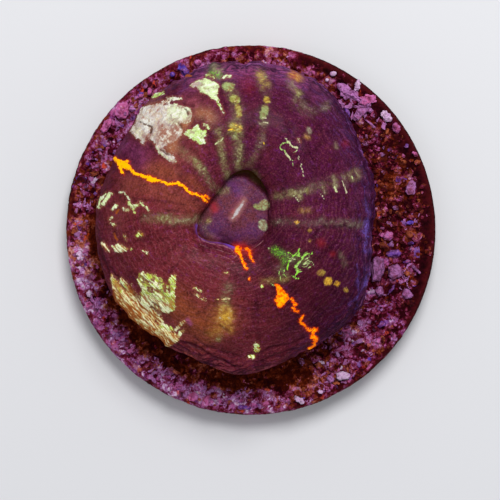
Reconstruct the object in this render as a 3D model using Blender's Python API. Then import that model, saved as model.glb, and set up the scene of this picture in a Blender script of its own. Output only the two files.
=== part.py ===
"""A scolymia: one large, single-mouthed stony coral on a round base disc strewn with rubble.

The disc lies flat on z = 0 with its centre over the origin. The polyp stands on it as one
grown piece: an oral disc sunk in a pit, a swollen mantle round it, a skirt that curls under
and a narrower stony foot, cut flat. Stones, flakes and beads of coralline crust lie round it.
"""

import math
import random

import bmesh
import bpy
from mathutils import Matrix, Vector

MM = 0.001

# Driving dimensions.
DISC_RADIUS = 50.0 * MM
DISC_THICKNESS = 9.0 * MM
DISC_TOP_ROUNDING = 2.0 * MM
DISC_BOTTOM_ROUNDING = 0.8 * MM
DISC_SIDES = 96
REST_GAP = 0.3 * MM

POLYP_SIDES = 84
PIT_CENTRE = (-4.0 * MM, 5.4 * MM)
CROWN_HEIGHT = 27.0 * MM
MOUTH_HEIGHT = 20.6 * MM
PIT_FLOOR_HEIGHT = 15.4 * MM
LIP_HEIGHT = 22.4 * MM
EDGE_HEIGHT = 11.5 * MM
EDGE_TILT = 2.5 * MM
EDGE_HIGH_SIDE = math.radians(232)
FOOT_SHARE = 0.64
LOBES = 21
LOBE_DEPTH = 0.22 * MM

# The mantle's outer edge seen from above, anticlockwise from the right, in millimetres.
MANTLE_EDGE = [
    (33.5, 6.8), (33.2, 11.9), (30.5, 19.6), (26.3, 28.3), (19.6, 37.6), (12.5, 41.9),
    (2.4, 44.0), (-6.6, 44.5), (-13.5, 43.2), (-18.9, 40.0), (-26.0, 35.2), (-32.7, 26.2),
    (-36.1, 19.8), (-38.6, 13.5), (-40.9, 6.8), (-40.9, -3.5), (-39.3, -10.7),
    (-36.1, -18.4), (-28.4, -26.1), (-18.1, -32.8), (-12.0, -35.6), (-4.0, -38.1),
    (6.4, -35.9), (14.9, -32.0), (20.7, -28.2), (27.6, -22.9), (30.5, -17.4),
    (31.9, -9.1), (32.2, -1.0),
]

# The pit's lip seen from above, anticlockwise from the right, in millimetres.
PIT_LIP = [
    (4.4, 4.5), (3.9, 10.5), (1.6, 13.9), (-1.1, 15.5), (-4.2, 14.7), (-8.1, 10.3),
    (-11.2, 6.4), (-13.6, 2.7), (-13.8, -1.5), (-7.6, -3.6), (-2.1, -4.9), (3.4, -1.5),
]

# Colours as red, green and blue from 0 to 1, and a roughness for each finish.
FINISHES = {
    "wet_tissue": ((0.33, 0.12, 0.17), 0.38),
    "crusted_rock": ((0.26, 0.09, 0.10), 0.75),
    "lilac_crust": ((0.62, 0.48, 0.70), 0.60),
    "violet_crust": ((0.42, 0.24, 0.66), 0.55),
    "pink_crust": ((0.74, 0.46, 0.66), 0.60),
    "pale_shell": ((0.86, 0.76, 0.88), 0.50),
    "blue_crust": ((0.36, 0.34, 0.58), 0.55),
    "warm_crumb": ((0.76, 0.42, 0.30), 0.65),
}

# Loose pieces on the disc: name, form, centre x and y, length, width and height in
# millimetres, turn in degrees, sides of a stone's outline, finish.
LOOSE_PIECES = [
    ("lilac_stone_large", "stone", 34.0, -10.4, 7.2, 4.3, 3.0, 84, 7, "lilac_crust"),
    ("lilac_stone_small", "stone", 38.7, -11.3, 4.4, 4.2, 2.4, 20, 6, "lilac_crust"),
    ("five_sided_stone", "stone", 34.7, -16.2, 2.9, 2.3, 1.5, 100, 5, "lilac_crust"),
    ("violet_blade", "stone", 37.9, -16.2, 3.6, 1.0, 1.4, 53, 5, "violet_crust"),
    ("violet_slab", "stone", 38.4, -6.3, 4.3, 2.0, 1.1, 4, 7, "violet_crust"),
    ("violet_splinter", "stone", 42.0, -8.6, 2.2, 0.9, 0.8, 12, 5, "violet_crust"),
    ("deep_violet_shard", "stone", 35.2, -25.6, 2.8, 1.3, 1.0, 28, 5, "violet_crust"),
    ("crumbled_lilac_stone", "stone", 43.1, 11.3, 4.6, 3.0, 1.4, 78, 8, "lilac_crust"),
    ("rose_pebble", "stone", 37.0, -1.6, 2.9, 2.5, 1.6, 10, 8, "pink_crust"),
    ("peach_bead", "bead", 42.8, -1.1, 2.2, 2.0, 1.6, 90, 0, "warm_crumb"),
    ("grey_oval_pebble", "bead", 42.9, 2.0, 2.3, 1.2, 0.9, 8, 0, "blue_crust"),
    ("broad_lilac_flake", "flake", 25.4, 37.5, 4.2, 2.8, 1.5, -62, 0, "lilac_crust"),
    ("standing_flake", "flake", 28.8, 39.2, 2.7, 1.0, 1.4, 80, 0, "pale_shell"),
    ("broad_pink_flake", "flake", 31.6, 35.2, 4.0, 2.2, 1.2, 4, 0, "pink_crust"),
    ("small_lilac_flake", "flake", 24.2, 34.0, 2.2, 1.4, 1.0, 100, 0, "lilac_crust"),
    ("blue_lilac_flake", "flake", 25.8, 31.4, 2.0, 1.5, 1.1, 70, 0, "violet_crust"),
    ("forked_flake", "flake", 29.3, 31.2, 4.4, 1.8, 1.4, 42, 0, "lilac_crust"),
    ("star_flake", "flake", 36.4, 30.7, 3.2, 2.0, 1.1, -55, 0, "pale_shell"),
    ("grey_rose_pebble", "stone", 39.2, 27.6, 3.3, 2.3, 1.7, 110, 8, "pink_crust"),
    ("rose_rim_chip", "stone", 44.2, 20.6, 2.1, 1.1, 1.0, -40, 5, "pink_crust"),
    ("peach_rim_chip", "stone", 44.7, 18.2, 1.8, 1.4, 1.0, 20, 6, "warm_crumb"),
    ("violet_crumb", "stone", 42.0, 22.6, 1.7, 1.5, 0.9, 45, 6, "violet_crust"),
    ("pearl_bead", "bead", 22.2, 42.2, 2.1, 1.5, 1.3, 10, 0, "pale_shell"),
    ("small_pearl_bead", "bead", 20.5, 40.5, 1.2, 1.2, 1.0, 0, 0, "pale_shell"),
    ("blue_slab", "stone", -18.2, 43.3, 4.2, 2.2, 1.2, -42, 6, "blue_crust"),
    ("pale_blue_pebble", "bead", -21.2, 42.0, 1.7, 1.5, 1.2, 0, 0, "blue_crust"),
    ("pink_pebble", "bead", -14.3, 45.2, 2.0, 1.8, 1.2, 0, 0, "pink_crust"),
    ("magenta_chip", "stone", -27.4, 37.4, 2.5, 1.2, 1.2, 75, 5, "pink_crust"),
    ("small_pink_chip", "stone", -29.6, 36.2, 1.7, 1.1, 1.0, 20, 5, "pink_crust"),
    ("pink_crust_knob", "stone", -34.8, 32.2, 5.4, 4.2, 1.7, 58, 9, "pink_crust"),
    ("pink_crust_ridge", "stone", -38.9, 28.0, 4.6, 2.4, 1.4, 60, 8, "pink_crust"),
    ("orange_crumb", "stone", -31.1, 33.4, 1.6, 1.0, 0.9, 80, 5, "warm_crumb"),
    ("pale_left_stone", "stone", -43.6, -17.2, 2.2, 1.6, 1.3, 95, 6, "pale_shell"),
    ("pink_left_stone", "stone", -43.8, -20.2, 2.3, 1.8, 1.2, 60, 6, "pink_crust"),
    ("pale_left_flake", "flake", -46.2, -6.8, 2.4, 1.5, 1.0, 100, 0, "pale_shell"),
    ("bright_lilac_flake", "flake", -26.6, -40.2, 2.8, 1.1, 1.0, -48, 0, "lilac_crust"),
    ("salmon_stone", "stone", -15.6, -45.0, 3.0, 2.8, 1.1, 0, 8, "pink_crust"),
    ("pink_oval_stone", "stone", -12.1, -46.2, 3.1, 2.1, 1.3, 80, 8, "pink_crust"),
    ("violet_rim_slab", "stone", -1.6, -47.9, 3.8, 1.5, 1.0, -6, 6, "violet_crust"),
    ("pale_rim_chip", "stone", 12.9, -45.8, 2.9, 1.5, 1.1, -18, 6, "pale_shell"),
    ("white_bead", "bead", 18.8, -43.7, 1.6, 1.1, 1.0, 0, 0, "pale_shell"),
    ("lilac_rim_stone", "stone", 21.4, -40.2, 2.3, 1.8, 1.2, -45, 7, "lilac_crust"),
    ("white_rim_slab", "stone", 24.9, -39.5, 4.2, 2.3, 1.3, 4, 8, "pale_shell"),
    ("lilac_splinter", "stone", 44.4, -10.4, 3.4, 1.2, 1.0, -46, 5, "lilac_crust"),
    ("lilac_crust_cluster", "stone", 42.3, -17.2, 3.2, 2.6, 1.2, 110, 9, "lilac_crust"),
]


def clear_scene():
    """Empties the file of the objects that Blender starts with."""
    for thing in list(bpy.data.objects):
        bpy.data.objects.remove(thing, do_unlink=True)


def make_finish(name):
    """A Principled material for one of the finishes."""
    colour, roughness = FINISHES[name]
    linear = [channel ** 2.2 for channel in colour]
    material = bpy.data.materials.new(name)
    material.use_nodes = True
    shader = material.node_tree.nodes["Principled BSDF"]
    shader.inputs["Base Color"].default_value = (*linear, 1.0)
    shader.inputs["Roughness"].default_value = roughness
    shader.inputs["Metallic"].default_value = 0.0
    return material


def add_object(name, bm, material):
    """Turns a bmesh into a smooth-shaded object of its own."""
    bmesh.ops.recalc_face_normals(bm, faces=bm.faces)
    mesh = bpy.data.meshes.new(name)
    bm.to_mesh(mesh)
    bm.free()
    mesh.materials.append(material)
    mesh.shade_smooth()
    mesh.set_sharp_from_angle(angle=math.radians(40))
    thing = bpy.data.objects.new(name, mesh)
    bpy.context.collection.objects.link(thing)
    return thing


def start_ring(bm, count, place):
    """A closed ring of edges, with vertex i at place(i)."""
    ring = bmesh.ops.create_circle(bm, cap_ends=False, radius=1.0, segments=count)["verts"]
    ring.sort(key=lambda vert: math.atan2(vert.co.y, vert.co.x) % math.tau)
    for i, vert in enumerate(ring):
        vert.co = place(i)
    return ring


def extrude_ring(bm, ring, place):
    """Extrudes a closed ring and puts new vertex i at place(i)."""
    number = {vert: i for i, vert in enumerate(ring)}
    edges = [bm.edges.get((ring[i - 1], ring[i])) for i in range(len(ring))]
    made = bmesh.ops.extrude_edge_only(bm, edges=edges)["geom"]
    new_ring = [None] * len(ring)
    for vert in made:
        if not isinstance(vert, bmesh.types.BMVert):
            continue
        for edge in vert.link_edges:
            source = edge.other_vert(vert)
            if source in number:
                new_ring[number[source]] = vert
    for i, vert in enumerate(new_ring):
        vert.co = place(i)
    return new_ring


def close_ring(bm, ring, centre):
    """Closes a ring with a fan of triangles round a centre point."""
    hub = bm.verts.new(centre)
    for i, vert in enumerate(ring):
        bm.faces.new((ring[i - 1], vert, hub))


def radius_curve(points):
    """Makes radius(angle) about the pit's centre, smooth and closed, through the points."""
    centre = Vector((PIT_CENTRE[0], PIT_CENTRE[1]))
    polar = []
    for x, y in points:
        arm = Vector((x * MM, y * MM)) - centre
        polar.append((math.atan2(arm.y, arm.x) % math.tau, arm.length))
    polar.sort()
    knots = ([(angle - math.tau, radius) for angle, radius in polar[-2:]] + polar
             + [(angle + math.tau, radius) for angle, radius in polar[:2]])

    def radius(angle):
        angle %= math.tau
        k = max(i for i in range(1, len(knots) - 2) if knots[i][0] <= angle)
        (a0, r0), (a1, r1), (a2, r2), (a3, r3) = knots[k - 1:k + 3]
        t = (angle - a1) / (a2 - a1)
        slope_1 = (r2 - r0) / (a2 - a0) * (a2 - a1)
        slope_2 = (r3 - r1) / (a3 - a1) * (a2 - a1)
        return (r1 * (2 * t ** 3 - 3 * t ** 2 + 1) + slope_1 * (t ** 3 - 2 * t ** 2 + t)
                + r2 * (3 * t ** 2 - 2 * t ** 3) + slope_2 * (t ** 3 - t ** 2))

    return radius


def swell(angle, middle, half_width):
    """A smooth bump over the angle, 1 at its middle and 0 past its half width."""
    away = abs((angle - middle + math.pi) % math.tau - math.pi) / half_width
    return 0.5 + 0.5 * math.cos(math.pi * away) if away < 1.0 else 0.0


def polyp_profile(angle, lip, edge):
    """The polyp's section at one angle, from the mouth over the mantle to the foot.

    Each pair is a distance from the pit's centre and a height above the disc.
    """
    mantle = edge - lip
    merged = swell(angle, math.radians(-8), math.radians(62))
    floor = PIT_FLOOR_HEIGHT + 3.4 * MM * merged
    tuck = 1.0 + 0.05 * (1.0 - merged)
    rim = EDGE_HEIGHT + EDGE_TILT * math.cos(angle - EDGE_HIGH_SIDE)
    ripple = LOBE_DEPTH * math.cos(LOBES * angle)
    inner = [
        (0.30 * lip, MOUTH_HEIGHT - 0.2 * MM),
        (0.58 * lip, MOUTH_HEIGHT - 1.1 * MM),
        (0.80 * lip, MOUTH_HEIGHT - 2.6 * MM + 1.0 * MM * merged),
        (0.93 * lip, floor + 0.6 * MM),
        (tuck * lip, floor),
        (tuck * lip + 0.5 * MM, 0.5 * (floor + LIP_HEIGHT)),
        (lip + 0.2 * MM, LIP_HEIGHT),
    ]
    crown = [
        (lip + 0.05 * mantle, LIP_HEIGHT + 0.42 * (CROWN_HEIGHT - LIP_HEIGHT)),
        (lip + 0.14 * mantle, LIP_HEIGHT + 0.78 * (CROWN_HEIGHT - LIP_HEIGHT)),
        (lip + 0.28 * mantle, CROWN_HEIGHT - 0.2 * MM + ripple),
        (lip + 0.42 * mantle, CROWN_HEIGHT - 0.1 * MM + ripple),
        (lip + 0.57 * mantle, CROWN_HEIGHT - 1.3 * MM + 1.5 * ripple),
        (lip + 0.71 * mantle, CROWN_HEIGHT - 3.8 * MM + 2.0 * ripple),
        (lip + 0.84 * mantle, CROWN_HEIGHT - 7.6 * MM + 2.0 * ripple),
        (lip + 0.94 * mantle, 0.55 * (CROWN_HEIGHT - 7.6 * MM) + 0.45 * rim + 1.0 * MM),
        (edge - 0.25 * MM, rim + 1.8 * MM),
        (edge, rim - 0.6 * MM),
    ]
    under = [
        (edge - 0.8 * MM, rim - 3.4 * MM),
        (edge - 2.6 * MM, rim - 4.9 * MM),
        (edge - 5.2 * MM, rim - 4.7 * MM),
        (0.80 * edge, 0.52 * rim),
        (0.71 * edge, 0.28 * rim),
        (FOOT_SHARE * edge, 0.08 * rim),
        (FOOT_SHARE * edge, REST_GAP),
    ]
    return inner + crown + under


def make_polyp():
    """The living coral: one solid from its mouth to its flat-cut foot."""
    lip_at = radius_curve(PIT_LIP)
    edge_at = radius_curve(MANTLE_EDGE)
    angles = [math.tau * i / POLYP_SIDES for i in range(POLYP_SIDES)]
    profiles = [polyp_profile(angle, lip_at(angle), edge_at(angle)) for angle in angles]

    def place(station):
        def point(i):
            reach, height = profiles[i][station]
            return Vector((PIT_CENTRE[0] + reach * math.cos(angles[i]),
                           PIT_CENTRE[1] + reach * math.sin(angles[i]),
                           DISC_THICKNESS + height))
        return point

    bm = bmesh.new()
    first = start_ring(bm, POLYP_SIDES, place(0))
    ring = first
    for station in range(1, len(profiles[0])):
        ring = extrude_ring(bm, ring, place(station))
    close_ring(bm, first, (*PIT_CENTRE, DISC_THICKNESS + MOUTH_HEIGHT))
    close_ring(bm, ring, (*PIT_CENTRE, DISC_THICKNESS + REST_GAP))
    return add_object("coral_polyp", bm, bpy.data.materials["wet_tissue"])


def make_disc():
    """The round base disc, with a rounded shoulder and a flat underside to rest on."""
    bm = bmesh.new()
    bmesh.ops.create_cone(
        bm, cap_ends=True, segments=DISC_SIDES, radius1=DISC_RADIUS, radius2=DISC_RADIUS,
        depth=DISC_THICKNESS, matrix=Matrix.Translation((0, 0, DISC_THICKNESS / 2)))
    for height, rounding, steps in ((DISC_THICKNESS, DISC_TOP_ROUNDING, 3),
                                    (0.0, DISC_BOTTOM_ROUNDING, 2)):
        corner = [edge for edge in bm.edges
                  if all(abs(vert.co.z - height) < 1e-6 for vert in edge.verts)]
        bmesh.ops.bevel(bm, geom=corner, offset=rounding, segments=steps, profile=0.5,
                        affect="EDGES")
    return add_object("base_disc", bm, bpy.data.materials["crusted_rock"])


def seat(thing, x, y, turn):
    """Turns a loose piece and lays it on the disc, just clear of its surface."""
    thing.rotation_euler = (0, 0, math.radians(turn))
    thing.location = (x * MM, y * MM, DISC_THICKNESS + REST_GAP)


def make_stone(name, size, sides, material):
    """A chip of crusted rock: an uneven outline, widest near its foot, with a chamfered top."""
    length, width, height = size
    rng = random.Random(name)
    outline = []
    for i in range(sides):
        angle = math.tau * (i + rng.uniform(-0.22, 0.22)) / sides
        reach = rng.uniform(0.86, 1.0)
        outline.append(Vector((length / 2 * reach * math.cos(angle),
                               width / 2 * reach * math.sin(angle), 0)))

    def place(share, level):
        return lambda i: outline[i] * share + Vector((0, 0, level * height))

    bm = bmesh.new()
    foot = start_ring(bm, sides, place(0.90, 0.0))
    ring = foot
    for share, level in ((1.0, 0.30), (0.94, 0.72), (0.66, 0.97)):
        ring = extrude_ring(bm, ring, place(share, level))
    bm.faces.new(foot)
    close_ring(bm, ring, (0, 0, height))
    return add_object(name, bm, material)


def make_flake(name, size, material):
    """A thin curled plate of crust, arched along its length."""
    length, width, height = size
    thickness = 0.5 * MM
    bm = bmesh.new()
    bmesh.ops.create_grid(bm, x_segments=6, y_segments=3, size=1.0)
    for vert in bm.verts:
        along, across = vert.co.x, vert.co.y
        taper = 1.0 - 0.35 * along ** 2
        vert.co = Vector((along * length / 2, across * taper * width / 2,
                          (height - thickness) * (1.0 - along ** 2) * (1.0 - 0.3 * across ** 2)))
    thing = add_object(name, bm, material)
    plate = thing.modifiers.new("plate", "SOLIDIFY")
    plate.thickness = thickness
    plate.offset = 1.0
    return thing


def make_bead(name, size, material):
    """A small water-worn pebble or shell bead, resting on a flattened underside."""
    length, width, height = size
    bm = bmesh.new()
    bmesh.ops.create_icosphere(bm, subdivisions=2, radius=1.0)
    flat_below = -0.8
    for vert in bm.verts:
        x, y, z = vert.co
        z = (max(z, flat_below) - flat_below) / (1.0 - flat_below)
        vert.co = Vector((x * length / 2, y * width / 2, z * height))
    return add_object(name, bm, material)


def make_loose_pieces():
    """Every stone, flake and bead round the polyp, each its own object."""
    for name, form, x, y, length, width, height, turn, sides, finish in LOOSE_PIECES:
        size = (length * MM, width * MM, height * MM)
        material = bpy.data.materials[finish]
        if form == "stone":
            thing = make_stone(name, size, sides, material)
        elif form == "flake":
            thing = make_flake(name, size, material)
        else:
            thing = make_bead(name, size, material)
        seat(thing, x, y, turn)


def main():
    """Builds the disc, the polyp and the loose pieces."""
    clear_scene()
    for name in FINISHES:
        make_finish(name)
    make_disc()
    make_polyp()
    make_loose_pieces()


main()
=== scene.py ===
"""Looks for a scolymia on its base disc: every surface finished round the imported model.

Run as a script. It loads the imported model, registers one operator for each piece or group of
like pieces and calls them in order.
"""

import math
from types import SimpleNamespace

import bpy
import numpy as np
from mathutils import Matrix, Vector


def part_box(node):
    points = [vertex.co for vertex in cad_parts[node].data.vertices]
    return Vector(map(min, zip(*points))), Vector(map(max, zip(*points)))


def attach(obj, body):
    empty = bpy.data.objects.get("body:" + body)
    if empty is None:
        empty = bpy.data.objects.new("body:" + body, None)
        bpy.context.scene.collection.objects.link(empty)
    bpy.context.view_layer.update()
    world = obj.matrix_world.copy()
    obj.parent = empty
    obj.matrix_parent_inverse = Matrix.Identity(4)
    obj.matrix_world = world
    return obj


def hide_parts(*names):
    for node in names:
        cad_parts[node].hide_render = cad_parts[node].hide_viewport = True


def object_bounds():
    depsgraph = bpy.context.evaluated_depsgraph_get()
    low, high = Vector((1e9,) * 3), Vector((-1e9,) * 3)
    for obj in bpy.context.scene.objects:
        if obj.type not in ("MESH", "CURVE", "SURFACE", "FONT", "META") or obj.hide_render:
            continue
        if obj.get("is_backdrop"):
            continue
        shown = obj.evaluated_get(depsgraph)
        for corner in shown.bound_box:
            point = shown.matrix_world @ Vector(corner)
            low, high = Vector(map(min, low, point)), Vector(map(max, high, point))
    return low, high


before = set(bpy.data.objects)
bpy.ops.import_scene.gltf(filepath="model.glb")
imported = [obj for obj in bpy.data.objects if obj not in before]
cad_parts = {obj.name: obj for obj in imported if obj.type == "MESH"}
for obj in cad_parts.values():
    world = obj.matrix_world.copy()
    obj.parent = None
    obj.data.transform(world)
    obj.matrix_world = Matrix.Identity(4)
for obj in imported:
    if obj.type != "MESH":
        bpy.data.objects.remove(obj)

bl_info = {
    "name": "Scolymia on a rubble disc",
    "version": (1, 0, 0),
    "blender": (4, 5, 0),
    "location": "3D View > Sidebar > Scolymia",
    "description": "Builds a scolymia, its crusted base disc and the rubble round it",
    "category": "Object",
}

MM = 0.001
BODY = "root"
DISC_NODE = "base_disc"
POLYP_NODE = "coral_polyp"

DISC_LOW, DISC_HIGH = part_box(DISC_NODE)
DISC_TOP = DISC_HIGH.z
DISC_RADIUS = 0.5 * (DISC_HIGH.x - DISC_LOW.x)

# The point that marks and rubble are laid out from, looking straight down.
LOOKOUT = np.array([-0.27, -5.4, 709.0]) * MM

# ---------------- the polyp's section
PIT_CENTRE = np.array([-4.0, 5.4]) * MM
CROWN_HEIGHT = 27.0 * MM
MOUTH_HEIGHT = 20.6 * MM
LIP_HEIGHT = 22.4 * MM
EDGE_HEIGHT = 11.5 * MM
EDGE_TILT = 2.5 * MM
EDGE_HIGH_SIDE = math.radians(232)
# The foot's share of the mantle's width, and the gap that stands for its contact.
FOOT_SHARE = 0.64
REST_GAP = 0.3 * MM
# The side where the lip runs into the oral disc, and the two where a gap opens between them.
MERGED_SIDE = -14
MERGED_WIDTH = 78
GAP_SIDE = 60
LOW_GAP_SIDE = 228

# The mantle's outer edge seen from above, anticlockwise from the right, in millimetres.
MANTLE_EDGE = [
    (33.5, 6.8), (33.2, 11.9), (30.5, 19.6), (26.3, 28.3), (19.6, 37.6), (12.5, 41.9),
    (2.4, 44.0), (-6.6, 44.5), (-13.5, 43.2), (-18.9, 40.0), (-26.0, 35.2), (-32.7, 26.2),
    (-36.1, 19.8), (-38.6, 13.5), (-40.9, 6.8), (-40.9, -3.5), (-39.3, -10.7),
    (-36.1, -18.4), (-28.4, -26.1), (-18.1, -32.8), (-12.0, -35.6), (-4.0, -38.1),
    (6.4, -35.9), (14.9, -32.0), (20.7, -28.2), (27.6, -22.9), (30.5, -17.4),
    (31.9, -9.1), (32.2, -1.0),
]

# The pit's lip seen from above, anticlockwise from the right, in millimetres.
PIT_LIP = [
    (4.4, 4.5), (3.9, 10.5), (1.6, 13.9), (-1.1, 15.5), (-4.2, 14.7), (-8.1, 10.3),
    (-11.2, 6.4), (-13.6, 2.7), (-13.8, -1.5), (-7.6, -3.6), (-2.1, -4.9), (3.4, -1.5),
]

# ---------------- marks on the polyp
# Seen from the lookout on the plane of the disc's top, in millimetres. Each mark is a half
# width, its values, and the points that its line runs through.
ORANGE_VEINS = [
    (0.45, (-36.8, 19.6), (-36.0, 18.6)), (0.75, (-35.6, 18.2), (-34.5, 17.5), (-33.4, 17.2)),
    (0.3, (-34.8, 17.8), (-33.3, 18.7)), (0.35, (-35.6, 17.0), (-34.8, 15.4)),
    (0.36, (-33.4, 17.2), (-32.0, 15.9), (-31.4, 15.2), (-30.0, 14.9), (-28.4, 14.2)),
    (0.7, (-27.4, 14.0), (-25.9, 13.4)), (0.3, (-25.9, 13.4), (-23.8, 13.0), (-22.7, 12.4)),
    (0.34, (-22.2, 12.4), (-19.8, 12.7), (-18.4, 12.0), (-17.2, 10.8), (-16.0, 9.8)),
    (0.3, (-16.0, 9.8), (-14.5, 9.6), (-13.2, 8.8), (-12.1, 7.6)),
    (0.3, (-13.4, 9.1), (-12.4, 9.2), (-11.5, 8.6)), (0.6, (-3.8, -4.9), (-3.3, -6.1)),
    (0.34, (-2.7, -5.1), (-3.2, -6.1), (-2.5, -7.8), (-1.9, -9.2), (-1.2, -10.4)),
    (0.45, (-1.1, -5.1), (-0.6, -5.5)), (0.28, (-0.6, -5.6), (0.0, -7.1), (0.8, -8.5)),
    (0.25, (-0.6, -12.9), (-0.5, -13.2)),
    (0.3, (10.0, -18.6), (11.1, -18.6), (11.5, -19.5), (12.3, -20.1), (11.2, -21.1),
     (11.9, -21.9), (13.0, -22.0)),
    (0.35, (11.3, -18.9), (11.8, -19.9)),
    (0.28, (14.1, -23.1), (13.5, -24.0), (13.2, -24.7), (14.3, -25.7), (15.1, -26.6)),
    (0.32, (15.1, -26.6), (16.5, -26.7), (17.6, -26.5)),
    (0.4, (17.4, -26.8), (16.7, -27.4), (16.5, -28.2)), (0.65, (16.5, -28.6), (17.3, -29.0)),
    (0.3, (17.4, -29.4), (16.9, -30.2), (17.2, -30.9), (16.4, -31.4), (15.8, -32.2)),
]

# Outlines filled like the veins.
ORANGE_AREAS = [
    ((6.6, -14.6), (7.3, -14.6), (8.1, -15.4), (9.2, -16.8), (10.1, -17.8), (10.1, -18.9),
     (9.5, -19.7), (8.9, -20.5), (7.8, -20.9), (7.0, -20.7), (6.8, -19.7), (6.2, -18.9),
     (7.0, -18.4), (7.3, -17.0), (6.8, -15.9)),
]

# Half width, then the thread's tint: 0 is green, 1 cream and 2 golden. The last rows are painted
# highlights: pale and golden glints drawn like threads.
THREADS_AND_GLINTS = [
    (0.28, 0.6, (4.8, -4.9)), (0.15, 0.1, (9.9, -5.9), (11.2, -7.0), (11.9, -6.8), (12.8, -5.7)),
    (0.17, 0.2, (11.9, -6.8), (13.1, -6.9)), (0.2, 0.0, (10.4, -8.2), (9.9, -10.7)),
    (0.17, 0.8, (10.8, -8.4), (11.2, -7.6), (12.2, -8.1)),
    (0.17, 0.2, (16.6, -6.6), (15.1, -6.5), (14.3, -7.0), (13.8, -7.8), (13.0, -8.6),
     (12.2, -10.0)),
    (0.18, 0.1, (12.3, -9.7), (12.7, -10.5), (13.0, -11.5), (12.2, -12.3)),
    (0.14, 0.6, (13.6, -8.2), (12.8, -9.4), (12.4, -10.6)),
    (0.17, 0.6, (14.6, -7.8), (15.7, -8.4)), (0.12, 0.7, (15.1, -8.1), (16.6, -8.8), (17.2, -9.9)),
    (0.15, 0.7, (15.7, -7.2), (14.9, -8.0)), (0.12, 0.6, (16.2, -10.0), (15.4, -10.4)),
    (0.17, 0.2, (10.7, -12.4), (11.9, -13.1), (13.0, -13.1)),
    (0.09, 0.4, (8.2, -10.3), (7.6, -11.6), (7.8, -12.4), (8.2, -13.6)),
    (0.1, 0.2, (13.8, -7.4), (14.6, -6.2), (15.2, -5.8)),
    (0.1, 0.5, (14.2, -9.4), (13.6, -10.6), (13.9, -11.4)),
    (0.1, 0.3, (10.2, -9.8), (9.2, -10.6), (8.8, -11.8), (9.6, -12.8)),
    (0.09, 0.5, (15.6, -8.8), (15.2, -9.8), (14.4, -10.2), (13.8, -10.0)),
    (0.17, 0.5, (5.4, -14.3), (6.4, -15.1)), (0.13, 0.9, (9.4, 24.8), (10.0, 24.1), (10.4, 23.8)),
    (0.19, 0.9, (10.4, 23.8), (10.7, 23.0), (11.7, 22.4), (12.6, 22.2)),
    (0.13, 0.7, (12.4, 22.0), (12.3, 21.4), (11.2, 21.1)), (0.11, 0.8, (10.0, 24.1), (10.9, 24.2)),
    (0.13, 0.4, (10.0, 23.8), (8.8, 23.5), (8.1, 23.0), (7.9, 22.2), (8.5, 21.7), (9.2, 22.0),
     (9.5, 20.7)),
    (0.21, 0.9, (9.5, 20.7), (9.9, 20.1), (10.7, 19.0)), (0.1, 0.5, (11.4, 18.7), (11.4, 17.4)),
    (0.13, 1.0, (12.9, 20.1), (12.8, 19.3), (13.4, 18.4), (13.4, 16.8), (13.9, 16.0),
     (14.2, 14.5)),
    (0.13, 0.1, (6.4, -5.2), (7.6, -5.9), (8.8, -6.2)),
    (0.12, 0.2, (9.7, -6.4), (9.9, -7.3), (10.5, -8.2)),
    (0.13, 0.2, (11.9, -9.6), (12.1, -10.6), (12.9, -11.5)),
    (0.12, 0.7, (14.8, -7.8), (14.9, -8.6), (14.6, -9.5)),
    (0.12, 0.6, (14.1, -9.1), (14.9, -8.9), (15.9, -9.3)), (0.12, 0.1, (12.6, -5.7), (12.9, -5.0)),
    (0.12, 0.1, (16.3, -6.6), (16.4, -5.9)), (0.12, 0.2, (13.4, -7.4), (13.0, -6.6), (13.3, -5.9)),
    # Painted highlights from here on: short pale and golden glints, drawn like threads.
    (0.16, 0.9, (11.5, 9.3), (12.9, 7.7)), (0.12, 1.0, (18.9, 9.8), (20.0, 8.6)),
    (0.22, 0.8, (22.5, 11.9), (23.2, 10.4)), (0.14, 1.0, (24.7, 13.4), (25.6, 10.8), (25.9, 10.0)),
    (0.2, 0.7, (27.1, 14.4), (27.4, 13.5)), (0.15, 1.5, (-9.6, -18.6), (-5.8, -18.5)),
    (0.24, 1.2, (-7.4, -18.5), (-5.8, -18.4)), (0.12, 1.0, (2.3, 24.0), (2.8, 23.0)),
    (0.12, 0.9, (1.4, 23.0), (2.4, 22.2)), (0.12, 0.8, (-9.7, 23.3), (-8.1, 24.1), (-7.7, 24.7)),
    (0.17, 2.0, (-6.3, 27.0), (-4.9, 27.4), (-4.5, 26.9)),
    (0.14, 1.8, (-4.3, 28.2), (-3.4, 27.9), (-2.3, 27.2)), (0.12, 2.0, (3.4, 23.9), (3.5, 23.3)),
    (0.12, 1.4, (-6.4, 38.0), (-5.2, 37.8)), (0.12, 1.2, (-4.4, 34.6), (-3.6, 34.9)),
    (0.12, 1.0, (3.0, 30.4), (4.0, 30.2)), (0.12, 1.0, (3.2, 29.0), (4.5, 29.0)),
]

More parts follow.
